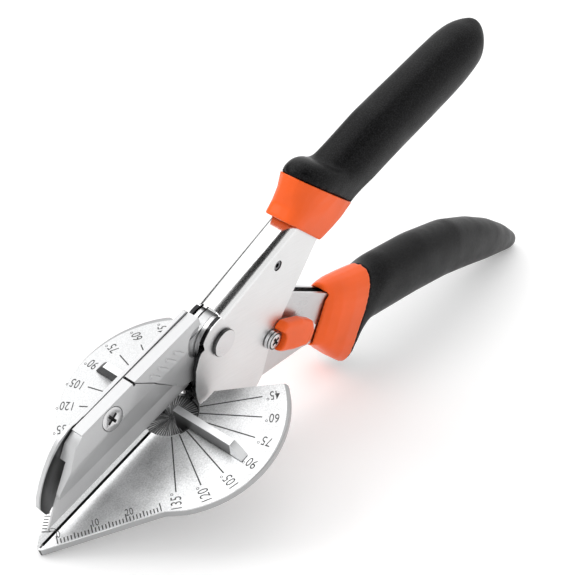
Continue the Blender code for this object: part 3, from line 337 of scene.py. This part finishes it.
def pocketedMetal(name, look, marks, wingRadius):
    # cast base: painted shade in the pocket and the slot below the top, a far wing painted darker as shade,
    # a strip of painted shade under the blade on the slot's far side, painted dark shade lines round the
    # wings' rims and painted shade on the side walls
    mat, shader = grainedMetal(name, look)
    x, y, z = splitPlace(mat, toolPlace(mat))
    reach = reachOf(mat, x, y)
    speckle = mapRange(mat, addNoise(mat, objectPlace(mat), look["grain"] * 1.3), 0.35, 0.65)
    farShade, underBladeShadeTone = (mixColors(mat, speckle, shade(look["color"], low), shade(look["color"], high))
                         for low, high in (marks["farWingShades"], marks["underBladeShades"]))
    # painted shade: the far wing darker than the near one
    paintOver(mat, shader, aboveMask(mat, y, marks["farShadeStart"], 0.004), farShade)
    # painted shade: a dark line along the wings' rims
    rim = allOf(mat, aboveMask(mat, reach, wingRadius - marks["rimWidth"], 0.00005),
                aboveMask(mat, x, marks["rimStart"], 0.0001))
    paintOver(mat, shader, rim, shade(look["color"], marks["rimShade"]))
    # painted shade on the side walls below the top
    wall = belowMask(mat, z, marks["wallTop"], 0.0001)
    paintOver(mat, shader, wall, shade(look["color"], marks["wallShade"]))
    # painted shade: a strip beside the slot on its far side, under the blade
    underBladeShade = allOf(mat, aboveMask(mat, y, 0.0001, 0.0001), belowMask(mat, y, marks["underBladeShadeWidth"], 0.0004))
    paintOver(mat, shader, underBladeShade, underBladeShadeTone)
    # painted shade in the pocket and the slot, below the top
    pocket = belowMask(mat, reach, marks["pocketRadius"], 0.00004)
    slot = belowMask(mat, mathOp(mat, "ABSOLUTE", y), marks["slotHalf"], 0.00004)
    recessShade = allOf(mat, mathOp(mat, "MAXIMUM", pocket, slot), belowMask(mat, z, marks["recessShadeTop"], 0.00005),
                   aboveMask(mat, z, marks["recessShadeFloor"], 0.0001))
    paintOver(mat, shader, recessShade, marks["recessShade"])
    return mat


cheekMarks = {"roughness": 0.45, "thick": 0.0002, "backGap": 0.0003, "insideShade": (0.03, 0.03, 0.031)}


def satinCheeks(mat, shader, marks, cheekHalf, backStart):
    # the channel's cheeks are satin, its back stays polished, and the inner faces and sheet edges in front
    # of the back are painted dark as shade
    x, y, _ = splitPlace(mat, toolPlace(mat))
    across = mathOp(mat, "ABSOLUTE", y)
    satin = mapRange(mat, across, cheekHalf - marks["thick"], cheekHalf - 0.00005, 0, marks["roughness"])
    plain = shader.inputs["Roughness"].links[0].from_socket
    wire(mat, mathOp(mat, "MAXIMUM", plain, satin), shader.inputs["Roughness"])
    # painted shade inside the channel, in front of its back
    inside = allOf(mat, belowMask(mat, across, cheekHalf - marks["thick"] - 0.00002, 0.00005),
                   belowMask(mat, x, backStart - marks["backGap"], 0.0001))
    paintOver(mat, shader, inside, marks["insideShade"])


guardMarks = {"middle": (-0.0245, 0.0036), "outer": 0.0264, "nearFace": 0.0019, "lip": 0.0005,
              "backEnd": -0.0265, "fadeMiddle": 0.00285, "fadeHalf": 0.00165, "tones": (0.42, 0.06)}


def guardMetal(name, look, marks):
    # die cast holder: the finger guard's inside gets painted shade, darker towards its bright outer lip
    mat, shader = grainedMetal(name, look)
    x, y, z = splitPlace(mat, toolPlace(mat))
    reach = reachOf(mat, mathOp(mat, "SUBTRACT", x, marks["middle"][0]),
                    mathOp(mat, "SUBTRACT", z, marks["middle"][1]))
    # painted shade on the guard's inner face, darkest near the lip
    inner = allOf(mat, belowMask(mat, y, marks["nearFace"] + 0.00015, 0.00005),
                  belowMask(mat, x, marks["backEnd"], 0.0005),
                  belowMask(mat, reach, marks["outer"] - marks["lip"], 0.0001))
    fade = aboveMask(mat, reach, marks["outer"] - marks["fadeMiddle"], marks["fadeHalf"])
    near, far = (shade(look["color"], tone) for tone in marks["tones"])
    paintOver(mat, shader, inner, mixColors(mat, fade, near, far))
    return mat


seamMarks = {"gap": 0.00015, "half": 0.0004, "depth": 0.00105, "shadow": (0.012, 0.012, 0.012)}


def partedMetal(name, look, marks, seam, topHeight):
    # die cast cover and shroud, with painted shadow in and beside the deep parting line across their top
    # facet
    mat, shader = grainedMetal(name, look)
    x, _, z = splitPlace(mat, toolPlace(mat))
    away = mathOp(mat, "ABSOLUTE", mathOp(mat, "SUBTRACT", x, seam))
    # painted shadow along the parting line
    line = allOf(mat, belowMask(mat, away, marks["half"], 0.00005),
                 aboveMask(mat, z, topHeight - marks["depth"], 0.00015))
    paintOver(mat, shader, line, marks["shadow"])
    return mat


def headMetal(name, look, faceY, wallShade):
    # rivet head: its flat face keeps the plain colour, the wall behind it gets painted shade
    mat, shader = grainedMetal(name, look)
    _, y, _ = splitPlace(mat, toolPlace(mat))
    # painted shade on the head's wall behind its face
    paintOver(mat, shader, aboveMask(mat, y, faceY + 0.000065, 0.000035), shade(look["color"], wallShade))
    return mat


fenceMarks = {"discTop": -0.0024, "teeth": 56, "streaks": 90, "sheenFans": 17, "discMarkAndSheenTones": (0.09, 1.1),
              "toothDepth": 0.0002, "endFace": -0.0251, "armTop": 0.004625, "flankHeight": 0.0045,
              "flankShades": (0.1, 0.42), "farShadeStart": 0.005, "farShade": 0.06, "highlightTone": 1.1}


def serratedMetal(name, look, marks):
    # cast fence: radial lathe marks with painted fans of sheen on the low turntable disc; the arms' flanks
    # get painted shade, darker towards the foot and on the far arm, with a painted highlight on their tops
    # and the near end face
    mat, shader = grainedMetal(name, look)
    place = toolPlace(mat)
    _, y, z = splitPlace(mat, place)
    radial = addNode(mat, "ShaderNodeTexGradient", gradient_type="RADIAL")
    wire(mat, place, radial.inputs["Vector"])
    around = radial.outputs["Fac"]
    teeth = mathOp(mat, "SINE", mathOp(mat, "MULTIPLY", around, 2 * math.pi * marks["teeth"]))
    streaks = addLineNoise(mat, mathOp(mat, "MULTIPLY", around, marks["streaks"]), 2)
    groove = allOf(mat, mapRange(mat, teeth, -0.6, 1), mapRange(mat, streaks, 0.3, 0.7, 0.2, 1))
    # painted sheen: fans of light round the disc
    sheenFans = addLineNoise(mat, mathOp(mat, "MULTIPLY", around, marks["sheenFans"]), 1)
    sheen = mapRange(mat, sheenFans, 0.4, 0.6, 0.3, 1)
    dark, light = (shade(look["color"], tone) for tone in marks["discMarkAndSheenTones"])
    disc = mixColors(mat, allOf(mat, groove, sheen), dark, light)

    # painted shade on the flanks, darker towards the foot and on the far arm
    foot, head = (shade(look["color"], tone) for tone in marks["flankShades"])
    flank = mixColors(mat, mapRange(mat, z, 0, marks["flankHeight"]), foot, head)
    farSide = aboveMask(mat, y, marks["farShadeStart"], 0.001)
    flank = mixColors(mat, farSide, flank, shade(look["color"], marks["farShade"]))
    # painted highlight on the arm tops and the near end face
    highlightFaces = mathOp(mat, "MAXIMUM", belowMask(mat, y, marks["endFace"], 0.0001),
                    aboveMask(mat, z, marks["armTop"], 0.000125))
    arms = mixColors(mat, highlightFaces, flank, shade(look["color"], marks["highlightTone"]))
    low = belowMask(mat, z, marks["discTop"], 0.0002)
    wire(mat, mixColors(mat, low, arms, disc), shader.inputs["Base Color"])
    normal = shader.inputs["Normal"].links[0].from_socket
    addBump(mat, shader, [(allOf(mat, groove, low), marks["toothDepth"], 0.6)], normal)
    return mat


orangeFinish = {"color": (1.0, 0.13, 0.015), "roughness": 0.36, "roughSpread": 0.06, "grain": 2600,
                "cloud": 60, "darkTone": 0.9, "specular": 0.25, "bump": 0.00002}
blackFinish = {"color": (0.005, 0.005, 0.0054), "roughness": 0.38, "roughSpread": 0.05, "grain": 1700,
               "cloud": 120, "tones": (0.3, 3.2), "specular": 0.1, "bump": 0.00006, "cellBump": 0.00007}
fillFinish = {"color": (0.035, 0.035, 0.036), "roughness": 0.6, "grain": 5000, "darkest": (0.02, 0.02, 0.02),
              "lightest": (0.1, 0.1, 0.1), "bump": 0.00002}


def varyPlastic(mat, shader, look, noise):
    # uneven gloss
    low, high = (look["roughness"] + sign * look["roughSpread"] for sign in (-1, 1))
    wire(mat, mapRange(mat, noise, 0.3, 0.7, low, high), shader.inputs["Roughness"])
    shader.inputs["Specular IOR Level"].default_value = look["specular"]


def mouldedOrange(name, look):
    mat, shader = newMaterial(name, look["color"], look["roughness"], 0)
    place = objectPlace(mat)
    grain = addNoise(mat, place, look["grain"], 3)
    cloud = addNoise(mat, place, look["cloud"], 2)
    tone = mapRange(mat, cloud, 0.35, 0.65)
    color = mixColors(mat, tone, shade(look["color"], look["darkTone"]), look["color"])
    wire(mat, color, shader.inputs["Base Color"])
    varyPlastic(mat, shader, look, grain)
    addBump(mat, shader, [(grain, look["bump"], 0.35)])
    return mat


def grainedBlack(name, look):
    mat, shader = newMaterial(name, look["color"], look["roughness"], 0)
    place = objectPlace(mat)
    cells = addNode(mat, "ShaderNodeTexVoronoi", feature="F1")
    cells.inputs["Scale"].default_value = look["grain"]
    wire(mat, place, cells.inputs["Vector"])
    grain = addNoise(mat, place, look["grain"] * 1.4, 3)
    cloud = addNoise(mat, place, look["cloud"], 2)
    dark, light = (shade(look["color"], tone) for tone in look["tones"])
    wire(mat, mixColors(mat, mapRange(mat, grain, 0.42, 0.68), dark, light), shader.inputs["Base Color"])
    varyPlastic(mat, shader, look, cloud)
    addBump(mat, shader, [(grain, look["bump"], 0.35), (cells.outputs["Distance"], look["cellBump"], 0.45)])
    return mat


def filledEngraving(name, look):
    mat, shader = newMaterial(name, look["color"], look["roughness"], 0)
    grain = addNoise(mat, objectPlace(mat), look["grain"], 3)
    color = mixColors(mat, mapRange(mat, grain, 0.35, 0.7), look["darkest"], look["lightest"])
    wire(mat, color, shader.inputs["Base Color"])
    addBump(mat, shader, [(grain, look["bump"], 0.4)])
    return mat


channelPoints = toolPoints("upper_channel")
satinCheeks(channelMetal, channelShader, cheekMarks, max(v.y for v in channelPoints),
            min(v.x for v in channelPoints if abs(v.y) < 0.003))
coverPoints = toolPoints("clamp_cover")
coverTop = max(v.z for v in coverPoints)
coverEnd = max(v.x for v in coverPoints if v.z > coverTop - 0.0003)
partedCast = partedMetal("partedDieCasting", dieCastFinish, seamMarks, coverEnd + seamMarks["gap"], coverTop)
wingRadius = max(v.y for v in toolPoints("base_plate"))
pinFace = min(v.y for v in toolPoints("pivot_pin"))
orangePlastic = mouldedOrange("mouldedOrangePlastic", orangeFinish)
blackPlastic = grainedBlack("grainedBlackPlastic", blackFinish)
darkFill = filledEngraving("darkFilledEngraving", fillFinish)
materialOfSlot = {"sheet_steel": armMetal, "polished_sheet": channelMetal, "bright_hardware": brightSteel,
                  "blade_steel": bladeSteel, "spring_steel": springSteel, "orange_plastic": orangePlastic,
                  "black_plastic": blackPlastic}
materialOfNode = {"base_plate": pocketedMetal("pocketedCastMetal", castFinish, baseMarks, wingRadius),
                  "fence": serratedMetal("serratedCastMetal", castFinish, fenceMarks),
                  "blade_holder": guardMetal("guardShadedDieCasting", dieCastFinish, guardMarks),
                  "clamp_cover": partedCast, "rear_shroud": partedCast,
                  "pivot_pin": headMetal("rivetHeadWithPaintedShade", screwFinish, pinFace, 0.12)}
print("materials made:", len(bpy.data.materials))

# camera, light and floor
cameraView = {"place": (-0.1284, -0.1809, 0.30253), "turn": (40.3123, 5.477, -52.3098), "lens": 77.555,
              "sensor": 36, "nearest": 0.01}  # place and turn are in the tool's axes
cameraData = bpy.data.cameras.new("viewCamera")
cameraData.lens = cameraView["lens"]
cameraData.sensor_width = cameraView["sensor"]
cameraData.clip_start = cameraView["nearest"]
camera = bpy.data.objects.new("viewCamera", cameraData)
bpy.context.scene.collection.objects.link(camera)
camera.matrix_world = toolFrame @ Matrix.LocRotScale(
    Vector(cameraView["place"]), Euler([math.radians(a) for a in cameraView["turn"]]), None)
bpy.context.scene.camera = camera
bpy.context.scene.view_settings.view_transform = "Standard"


def aimAt(place, target):
    return (Vector(target) - Vector(place)).to_track_quat("-Z", "Y").to_euler()


studioLights = [
    {"name": "topSoftbox", "place": (0.16, 0.57, 1.1), "size": 1.1, "power": 3.6},
    {"name": "keySoftbox", "place": (-0.62, 0.75, 0.85), "size": 0.6, "power": 3.6},
]
for lamp in studioLights:
    lightData = bpy.data.lights.new(lamp["name"], "AREA")
    lightData.shape = "SQUARE"
    lightData.size = lamp["size"]
    lightData.energy = lamp["power"]
    light = bpy.data.objects.new(lamp["name"], lightData)
    bpy.context.scene.collection.objects.link(light)
    light.location = lamp["place"]
    light.rotation_euler = aimAt(lamp["place"], (0, 0, 0))

# the world's level as light on the pieces, and as the camera, gloss and glass see it
worldLevel = {"lighting": 0.85, "seen": 1.0}
world = bpy.context.scene.world or bpy.data.worlds.new("studio")
bpy.context.scene.world = world
world.use_nodes = True
backNode = world.node_tree.nodes["Background"]
backNode.inputs["Color"].default_value = (1, 1, 1, 1)
rays = addNode(world, "ShaderNodeLightPath")
seen = mathOp(world, "MAXIMUM", rays.outputs["Is Camera Ray"], rays.outputs["Is Glossy Ray"])
seen = mathOp(world, "MAXIMUM", seen, rays.outputs["Is Transmission Ray"])
level = mapRange(world, seen, 0, 1, worldLevel["lighting"], worldLevel["seen"])
wire(world, level, backNode.inputs["Strength"])

floorLook = {"size": 8, "color": (0.93, 0.93, 0.93), "roughness": 0.9, "specular": 0.1, "lift": 0.16}
deselectAll()
bpy.ops.mesh.primitive_plane_add(size=floorLook["size"], location=(0, 0, 0))
floor = bpy.context.object
floor.name = "paleFloor"
floorMat, floorShader = newMaterial("paleFloor", floorLook["color"], floorLook["roughness"], 0)
floorShader.inputs["Specular IOR Level"].default_value = floorLook["specular"]
floorShader.inputs["Emission Color"].default_value = (1, 1, 1, 1)
rays = addNode(floorMat, "ShaderNodeLightPath")
seen = mathOp(floorMat, "MAXIMUM", rays.outputs["Is Camera Ray"], rays.outputs["Is Glossy Ray"])
lift = mapRange(floorMat, seen, 0, 1, 0, floorLook["lift"])
wire(floorMat, lift, floorShader.inputs["Emission Strength"])
floor.data.materials.append(floorMat)

# dark cards that only reflections show
darkCards = {"stripeCard": {"place": (-0.09, -0.27, 0.6), "width": 0.42, "length": 0.78},
             "farCard": {"place": (-0.15, 0.9, 0.22), "width": 1.6, "length": 0.4}}
cardAim = (0, 0, 0.08)
cardMat, _ = newMaterial("darkCard", (0.01, 0.01, 0.01), 1, 0)
for name, look in darkCards.items():
    deselectAll()
    bpy.ops.mesh.primitive_plane_add(size=1, location=look["place"])
    card = bpy.context.object
    card.name = name
    card.scale = (look["width"], look["length"], 1)
    card.rotation_euler = aimAt(look["place"], cardAim)
    card.data.materials.append(cardMat)
    card.visible_camera = False
    card.visible_diffuse = False
    card.visible_shadow = False
    card.visible_transmission = False
print("camera, lights and floor set")


# CAD nodes: each gets its finish, then rounded copies stand in where the real edges are soft
for name, node in nodes.items():
    node.data.materials.clear()
    node.data.materials.append(materialOfNode.get(name) or materialOfSlot[slotOf[name]])
    node.data.polygons.foreach_set("material_index", [0] * len(node.data.polygons))


def looseCopy(name):
    # a copy of a CAD node that rides on nothing yet
    copy = nodes[name].copy()
    copy.data = nodes[name].data.copy()
    copy.parent = None
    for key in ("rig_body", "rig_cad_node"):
        if key in copy:
            del copy[key]
    bpy.context.scene.collection.objects.link(copy)
    selectOnly(copy)
    return copy


edgeShape = {"merge": 0.000004, "flatAngle": 1.2, "segments": 2, "sharpAngle": 35, "smoothAngle": 40}
softEdges = {"base_plate": 0.00025, "fence": 0.00022, "upper_channel": 0.0002, "lower_arm": 0.0002,
             "blade_holder": 0.0002, "clamp_cover": 0.00025, "rear_shroud": 0.0002, "latch_hook": 0.00015}


def roundEdges(piece, width, segments, sharpAngle):
    bevel = piece.modifiers.new("softEdge", "BEVEL")
    bevel.width = width
    bevel.segments = segments
    bevel.limit_method = "ANGLE"
    bevel.angle_limit = math.radians(sharpAngle)
    return runModifiers(piece)


def softCopy(name, width):
    # copy of a CAD node with its edges rounded over
    copy = looseCopy(name)
    bpy.ops.object.mode_set(mode="EDIT")
    bpy.ops.mesh.select_all(action="SELECT")
    bpy.ops.mesh.remove_doubles(threshold=edgeShape["merge"])
    bpy.ops.mesh.dissolve_limited(angle_limit=math.radians(edgeShape["flatAngle"]))
    bpy.ops.object.mode_set(mode="OBJECT")
    roundEdges(copy, width, edgeShape["segments"], edgeShape["sharpAngle"])
    mat = nodes[name].data.materials[0]
    dress(copy, name + "_finish", mat, bodyOf[name], edgeShape["smoothAngle"], True)
    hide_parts(name)


for name, width in softEdges.items():
    softCopy(name, width)
print("edges rounded on", len(softEdges), "nodes")


# filled lines and figures on the base's top, which they stand proud of by a hair
engraving = {"stand": 0.000012, "boldness": 0.002, "letterGap": 1.06}


def flatLine(start, end, width):
    # a thin filled stroke between two points in the tool's axes
    way = Vector(end) - Vector(start)
    deselectAll()
    bpy.ops.mesh.primitive_cube_add(size=1)
    line = bpy.context.object
    line.scale = (way.length, width, engraving["stand"] * 4)
    applyPlace(line)
    middle = (Vector(start) + Vector(end)) / 2
    turn = Matrix.Rotation(math.atan2(way.y, way.x), 3, "Z")
    return placeInTool(line, (middle.x, middle.y, -engraving["stand"]), turn)


def figure(text, place, turn, size, squeeze):
    deselectAll()
    bpy.ops.object.text_add()
    words = bpy.context.object
    words.data.body = text
    words.data.size = size
    words.data.align_x = "CENTER"
    words.data.align_y = "CENTER"
    words.data.extrude = engraving["stand"]
    words.data.offset = size * engraving["boldness"]
    words.data.space_character = engraving["letterGap"]
    selectOnly(words)
    bpy.ops.object.convert(target="MESH")
    words = bpy.context.object
    words.scale = (squeeze, 1, 1)
    applyPlace(words)
    return placeInTool(words, (place[0], place[1], 0), Matrix.Rotation(turn, 3, "Z"))


def joinEngraving(pieces, name):
    selectOnly(*pieces)
    bpy.ops.object.join()
    dress(bpy.context.object, name, darkFill, "base_arm")


# angle lines and figures round the turntable
angleScale = {"angles": (45, 60, 75, 90, 105, 120, 135), "lineStart": 0.0091, "lineEnd": 0.0282,
              "lineWidth": 0.00042, "figureMiddle": 0.0319, "figureSize": 0.0045, "figureWidth": 0.68,
              "digitHalf": 0.00085, "ringGap": 0.0005, "ringRise": 0.0003, "ringSize": 0.0032,
              "ringWidth": 0.9}
for side, word in sides:
    lines, figures = [], []
    for angle in angleScale["angles"]:
        turn = side * math.radians(angle)
        out = Vector((math.cos(turn), math.sin(turn)))
        lineStart, lineEnd = out * angleScale["lineStart"], out * angleScale["lineEnd"]
        lines.append(flatLine(lineStart, lineEnd, angleScale["lineWidth"]))
        reading = turn if side > 0 else turn + math.pi
        middle = out * angleScale["figureMiddle"]
        size, width = angleScale["figureSize"], angleScale["figureWidth"]
        figures.append(figure(str(angle), middle, reading, size, width))
        along = Vector((math.cos(reading), math.sin(reading)))
        above = Vector((-along.y, along.x))
        ringReach = angleScale["ringGap"] + angleScale["digitHalf"] * len(str(angle))
        ring = middle + along * ringReach + above * angleScale["ringRise"]
        figures.append(figure("°", ring, reading, angleScale["ringSize"], angleScale["ringWidth"]))
    joinEngraving(lines, f"angle_lines_{word}")
    joinEngraving(figures, f"angle_figures_{word}")
print("angle scale engraved")

# dark line round the turntable's edge, and one that ends the slot
rimLine = {"inner": 0.0086, "outer": 0.00905, "from": 28, "to": 174, "steps": 60}
slotTail = {"start": (-0.054, 0), "end": (-0.0553, 0), "width": 0.0006}
rims = []
for side, _ in sides:
    deselectAll()
    bpy.ops.mesh.primitive_plane_add(size=1)
    strip = bpy.context.object
    strip.scale = (rimLine["outer"] - rimLine["inner"], engraving["stand"] * 4, 1)
    strip.rotation_euler = (math.pi / 2, 0, 0)
    strip.location = ((rimLine["outer"] + rimLine["inner"]) / 2, 0, -engraving["stand"])
    applyPlace(strip)
    strip.rotation_euler = (0, 0, side * math.radians(rimLine["from"]))
    applyPlace(strip)
    sweep = side * math.radians(rimLine["to"] - rimLine["from"])
    bpy.ops.object.mode_set(mode="EDIT")
    bpy.ops.mesh.select_all(action="SELECT")
    bpy.ops.mesh.spin(steps=rimLine["steps"], angle=sweep, center=(0, 0, 0), axis=(0, 0, 1))
    bpy.ops.mesh.select_all(action="SELECT")
    bpy.ops.mesh.normals_make_consistent(inside=False)
    bpy.ops.object.mode_set(mode="OBJECT")
    rims.append(placeInTool(strip, (0, 0, 0)))
rims.append(flatLine(slotTail["start"], slotTail["end"], slotTail["width"]))
joinEngraving(rims, "turntable_rim_line")

# millimetre rulers along the two front edges
ruler = {"tip": 0.0567, "halfAngle": 35.2, "zero": 0.0062, "step": 0.001, "count": 30, "inset": 0.0003,
         "short": 0.0015, "middle": 0.002, "long": 0.0027, "width": 0.00036, "figureSize": 0.0033,
         "figureWidth": 0.7, "figureInset": 0.0029, "figureShift": 0.0012, "zeroShift": 0.0006}
for side, word in sides:
    slant = math.radians(ruler["halfAngle"])
    edgeWay = Vector((math.cos(slant), side * math.sin(slant)))
    inward = Vector((math.sin(slant), -side * math.cos(slant)))
    tip = Vector((-ruler["tip"], 0))
    turn = math.atan2(-side * edgeWay.y, -side * edgeWay.x)
    ticks, figures = [], []
    for step in range(ruler["count"] + 1):
        length = ruler["long"] if step % 10 == 0 else ruler["middle"] if step % 5 == 0 else ruler["short"]
        foot = tip + edgeWay * (ruler["zero"] + step * ruler["step"]) + inward * ruler["inset"]
        ticks.append(flatLine(foot, foot + inward * length, ruler["width"]))
        if step % 10 == 0 and step < ruler["count"]:
            shift = ruler["figureShift"] if step else ruler["zeroShift"]
            place = foot + inward * ruler["figureInset"] + edgeWay * shift
            figures.append(figure(str(step), place, turn, ruler["figureSize"], ruler["figureWidth"]))
    joinEngraving(ticks, f"ruler_lines_{word}")
    joinEngraving(figures, f"ruler_figures_{word}")
print("rulers engraved")

# cross recessed screws in place of the plain CAD screws; angles in degrees
screwShape = {"sides": 64, "edge": 0.00008, "segments": 2, "sharpAngle": 40, "crossTaper": (0.55, 0.7, 1)}
clampScrew = {"headRadius": 0.0036, "headLip": 0.0004, "headDepth": 0.0017, "rim": 0.00012, "shank": 0.0015,
              "length": 0.0078, "crossReach": 0.0035, "crossWidth": 0.0013, "crossDepth": 0.0014, "turn": 20,
              "facetLean": 9.33}
latchScrew = {"headRadius": 0.0032, "headHeight": 0.0008, "shank": 0.0015, "length": 0.0035,
              "dome": ((0.5, 1), (0.25, 0.94), (0.08, 0.78), (0, 0.5)), "crossReach": 0.003,
              "crossWidth": 0.0014, "crossDepth": 0.001, "turn": 12}


def crossCutter(look):
    # two crossed wedges, narrower at the bottom
    bars = []
    for turn in (0, math.pi / 2):
        deselectAll()
        bpy.ops.mesh.primitive_cube_add(size=1, location=(0, 0, 0))
        bar = bpy.context.object
        bar.scale = (2 * look["crossReach"], look["crossWidth"], 2 * look["crossDepth"])
        applyPlace(bar)
        for vert in bar.data.vertices:
            vert.select = vert.co.z < 0
        bpy.ops.object.mode_set(mode="EDIT")
        bpy.ops.transform.resize(value=screwShape["crossTaper"])
        bpy.ops.object.mode_set(mode="OBJECT")
        bar.rotation_euler = (0, 0, turn + math.radians(look["turn"]))
        applyPlace(bar)
        bars.append(bar)
    union = bars[0].modifiers.new("union", "BOOLEAN")
    union.operation = "UNION"
    union.object = bars[1]
    runModifiers(bars[0])
    bpy.data.objects.remove(bars[1])
    return bars[0]


def turnedScrew(rings, cutter):
    # rings: (height, radius) from the shank's end up to the head's top; a circle is drawn up ring by ring
    deselectAll()
    bpy.ops.mesh.primitive_circle_add(vertices=screwShape["sides"], radius=rings[0][1], fill_type="NGON",
                                      location=(0, 0, rings[0][0]))
    screw = bpy.context.object
    bpy.ops.object.mode_set(mode="EDIT")
    bpy.ops.mesh.select_all(action="SELECT")
    for (lowZ, lowR), (highZ, highR) in zip(rings, rings[1:]):
        bpy.ops.mesh.extrude_region_move(TRANSFORM_OT_translate={"value": (0, 0, highZ - lowZ)})
        bpy.ops.transform.resize(value=(highR / lowR, highR / lowR, 1), center_override=(0, 0, highZ))
    bpy.ops.mesh.select_all(action="SELECT")
    bpy.ops.mesh.normals_make_consistent(inside=False)
    bpy.ops.object.mode_set(mode="OBJECT")
    applyPlace(screw)
    hole = screw.modifiers.new("recess", "BOOLEAN")
    hole.operation = "DIFFERENCE"
    hole.object = cutter
    runModifiers(screw)
    bpy.data.objects.remove(cutter)
    return roundEdges(screw, screwShape["edge"], screwShape["segments"], screwShape["sharpAngle"])


def recessFaces(screw, look):
    # faces of the cross recess, while the head's top still lies at zero height
    return [face.index for face in screw.data.polygons
            if -look["crossDepth"] * 1.02 < face.center.z < -0.0001
            and math.hypot(face.center.x, face.center.y) < look["crossReach"] * 1.02]


def screwPlace(name, outward):
    # middle of the node's outermost face along a direction in the tool's axes
    way = Vector(outward).normalized()
    corners = toolPoints(name)
    top = max(v.dot(way) for v in corners)
    face = [v for v in corners if top - v.dot(way) < 0.00002]
    return sum(face, Vector()) / len(face)


def crossScrew(name, look, rings, outward, body):
    screw = turnedScrew(rings, crossCutter(look))
    recess = recessFaces(screw, look)
    upright = Vector((0, 0, 1)).rotation_difference(Vector(outward).normalized()).to_matrix()
    placeInTool(screw, screwPlace(name, outward), upright)
    dress(screw, name + "_cross", screwSteel, body)
    screw.data.materials.append(darkFill)  # the cross recess takes the dark fill as painted shade
    for index in recess:
        screw.data.polygons[index].material_index = 1
    return screw


look = clampScrew
facetLean = math.radians(look["facetLean"])
rings = [(-look["length"], look["shank"]), (-look["headDepth"], look["shank"]),
         (-look["headLip"], look["headRadius"]), (-look["rim"], look["headRadius"]),
         (0, look["headRadius"] - look["rim"])]
piece = crossScrew("clamp_screw", look, rings, (0, -math.cos(facetLean), math.sin(facetLean)), "cutting_arm")
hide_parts("clamp_screw")

look = latchScrew
height, radius = look["headHeight"], look["headRadius"]
rings = [(-height - look["length"], look["shank"]), (-height, look["shank"]), (-height, radius)]
rings += [(-height * drop, radius * share) for drop, share in look["dome"]]
piece = crossScrew("latch_screw", look, rings, (0, -1, 0), "base_arm")
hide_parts("latch_screw")
print("screws cut")

# moulded handles and latch lever, smoothed over except where they meet the pieces beside and inside them
seamShape = {"closeGap": 0.0005, "pull": 0.85, "fixedGap": 0.0006, "seamFade": 0.003, "hollowFade": 0.0006,
             "relax": 0.5}
handleShells = {
    "upper_grip": {"voxel": 0.0007, "rounds": 30, "mat": blackPlastic, "partner": "upper_collar",
                   "carrier": "upper_channel", "closeSeam": True},
    "lower_grip": {"voxel": 0.0007, "rounds": 70, "mat": blackPlastic, "partner": "lower_collar",
                   "carrier": "lower_arm", "closeSeam": True},
    "upper_collar": {"voxel": 0.00042, "rounds": 8, "mat": orangePlastic, "partner": "upper_grip",
                     "carrier": "upper_channel", "closeSeam": False},
    "lower_collar": {"voxel": 0.00042, "rounds": 8, "mat": orangePlastic, "partner": "lower_grip",
                     "carrier": "lower_arm", "closeSeam": False},
    "latch_lever": {"voxel": 0.0003, "rounds": 3, "mat": orangePlastic, "partner": "latch_hook",
                    "carrier": "latch_hook", "closeSeam": False},
}


def nearest(name):
    mesh = nodes[name].data
    tree = BVHTree.FromPolygons([v.co for v in mesh.vertices], [p.vertices for p in mesh.polygons])
    return tree.find_nearest


def clampedShare(value):
    return min(max(value, 0), 1)


def smoothShell(name, look):
    copy = looseCopy(name)
    remesh = copy.modifiers.new("remesh", "REMESH")
    remesh.mode = "VOXEL"
    remesh.voxel_size = look["voxel"]
    runModifiers(copy)
    free = copy.vertex_groups.new(name="free")
    toPartner = nearest(look["partner"])
    toCarrier = nearest(look["carrier"])
    for vert in copy.data.vertices:
        spot, _, _, gap = toPartner(vert.co)
        if look["closeSeam"] and gap < seamShape["closeGap"]:
            vert.co = vert.co.lerp(spot, seamShape["pull"])
        seam = clampedShare((gap - seamShape["fixedGap"]) / seamShape["seamFade"])
        hollow = clampedShare((toCarrier(vert.co)[3] - seamShape["fixedGap"]) / seamShape["hollowFade"])
        free.add([vert.index], min(seam, hollow), "REPLACE")
    relax = copy.modifiers.new("relax", "SMOOTH")
    relax.factor = seamShape["relax"]
    relax.iterations = look["rounds"]
    relax.vertex_group = "free"
    runModifiers(copy)
    dress(copy, name + "_shell", look["mat"], bodyOf[name], 180)
    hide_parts(name)


for name, look in handleShells.items():
    smoothShell(name, look)
print("handles smoothed")

deselectAll()
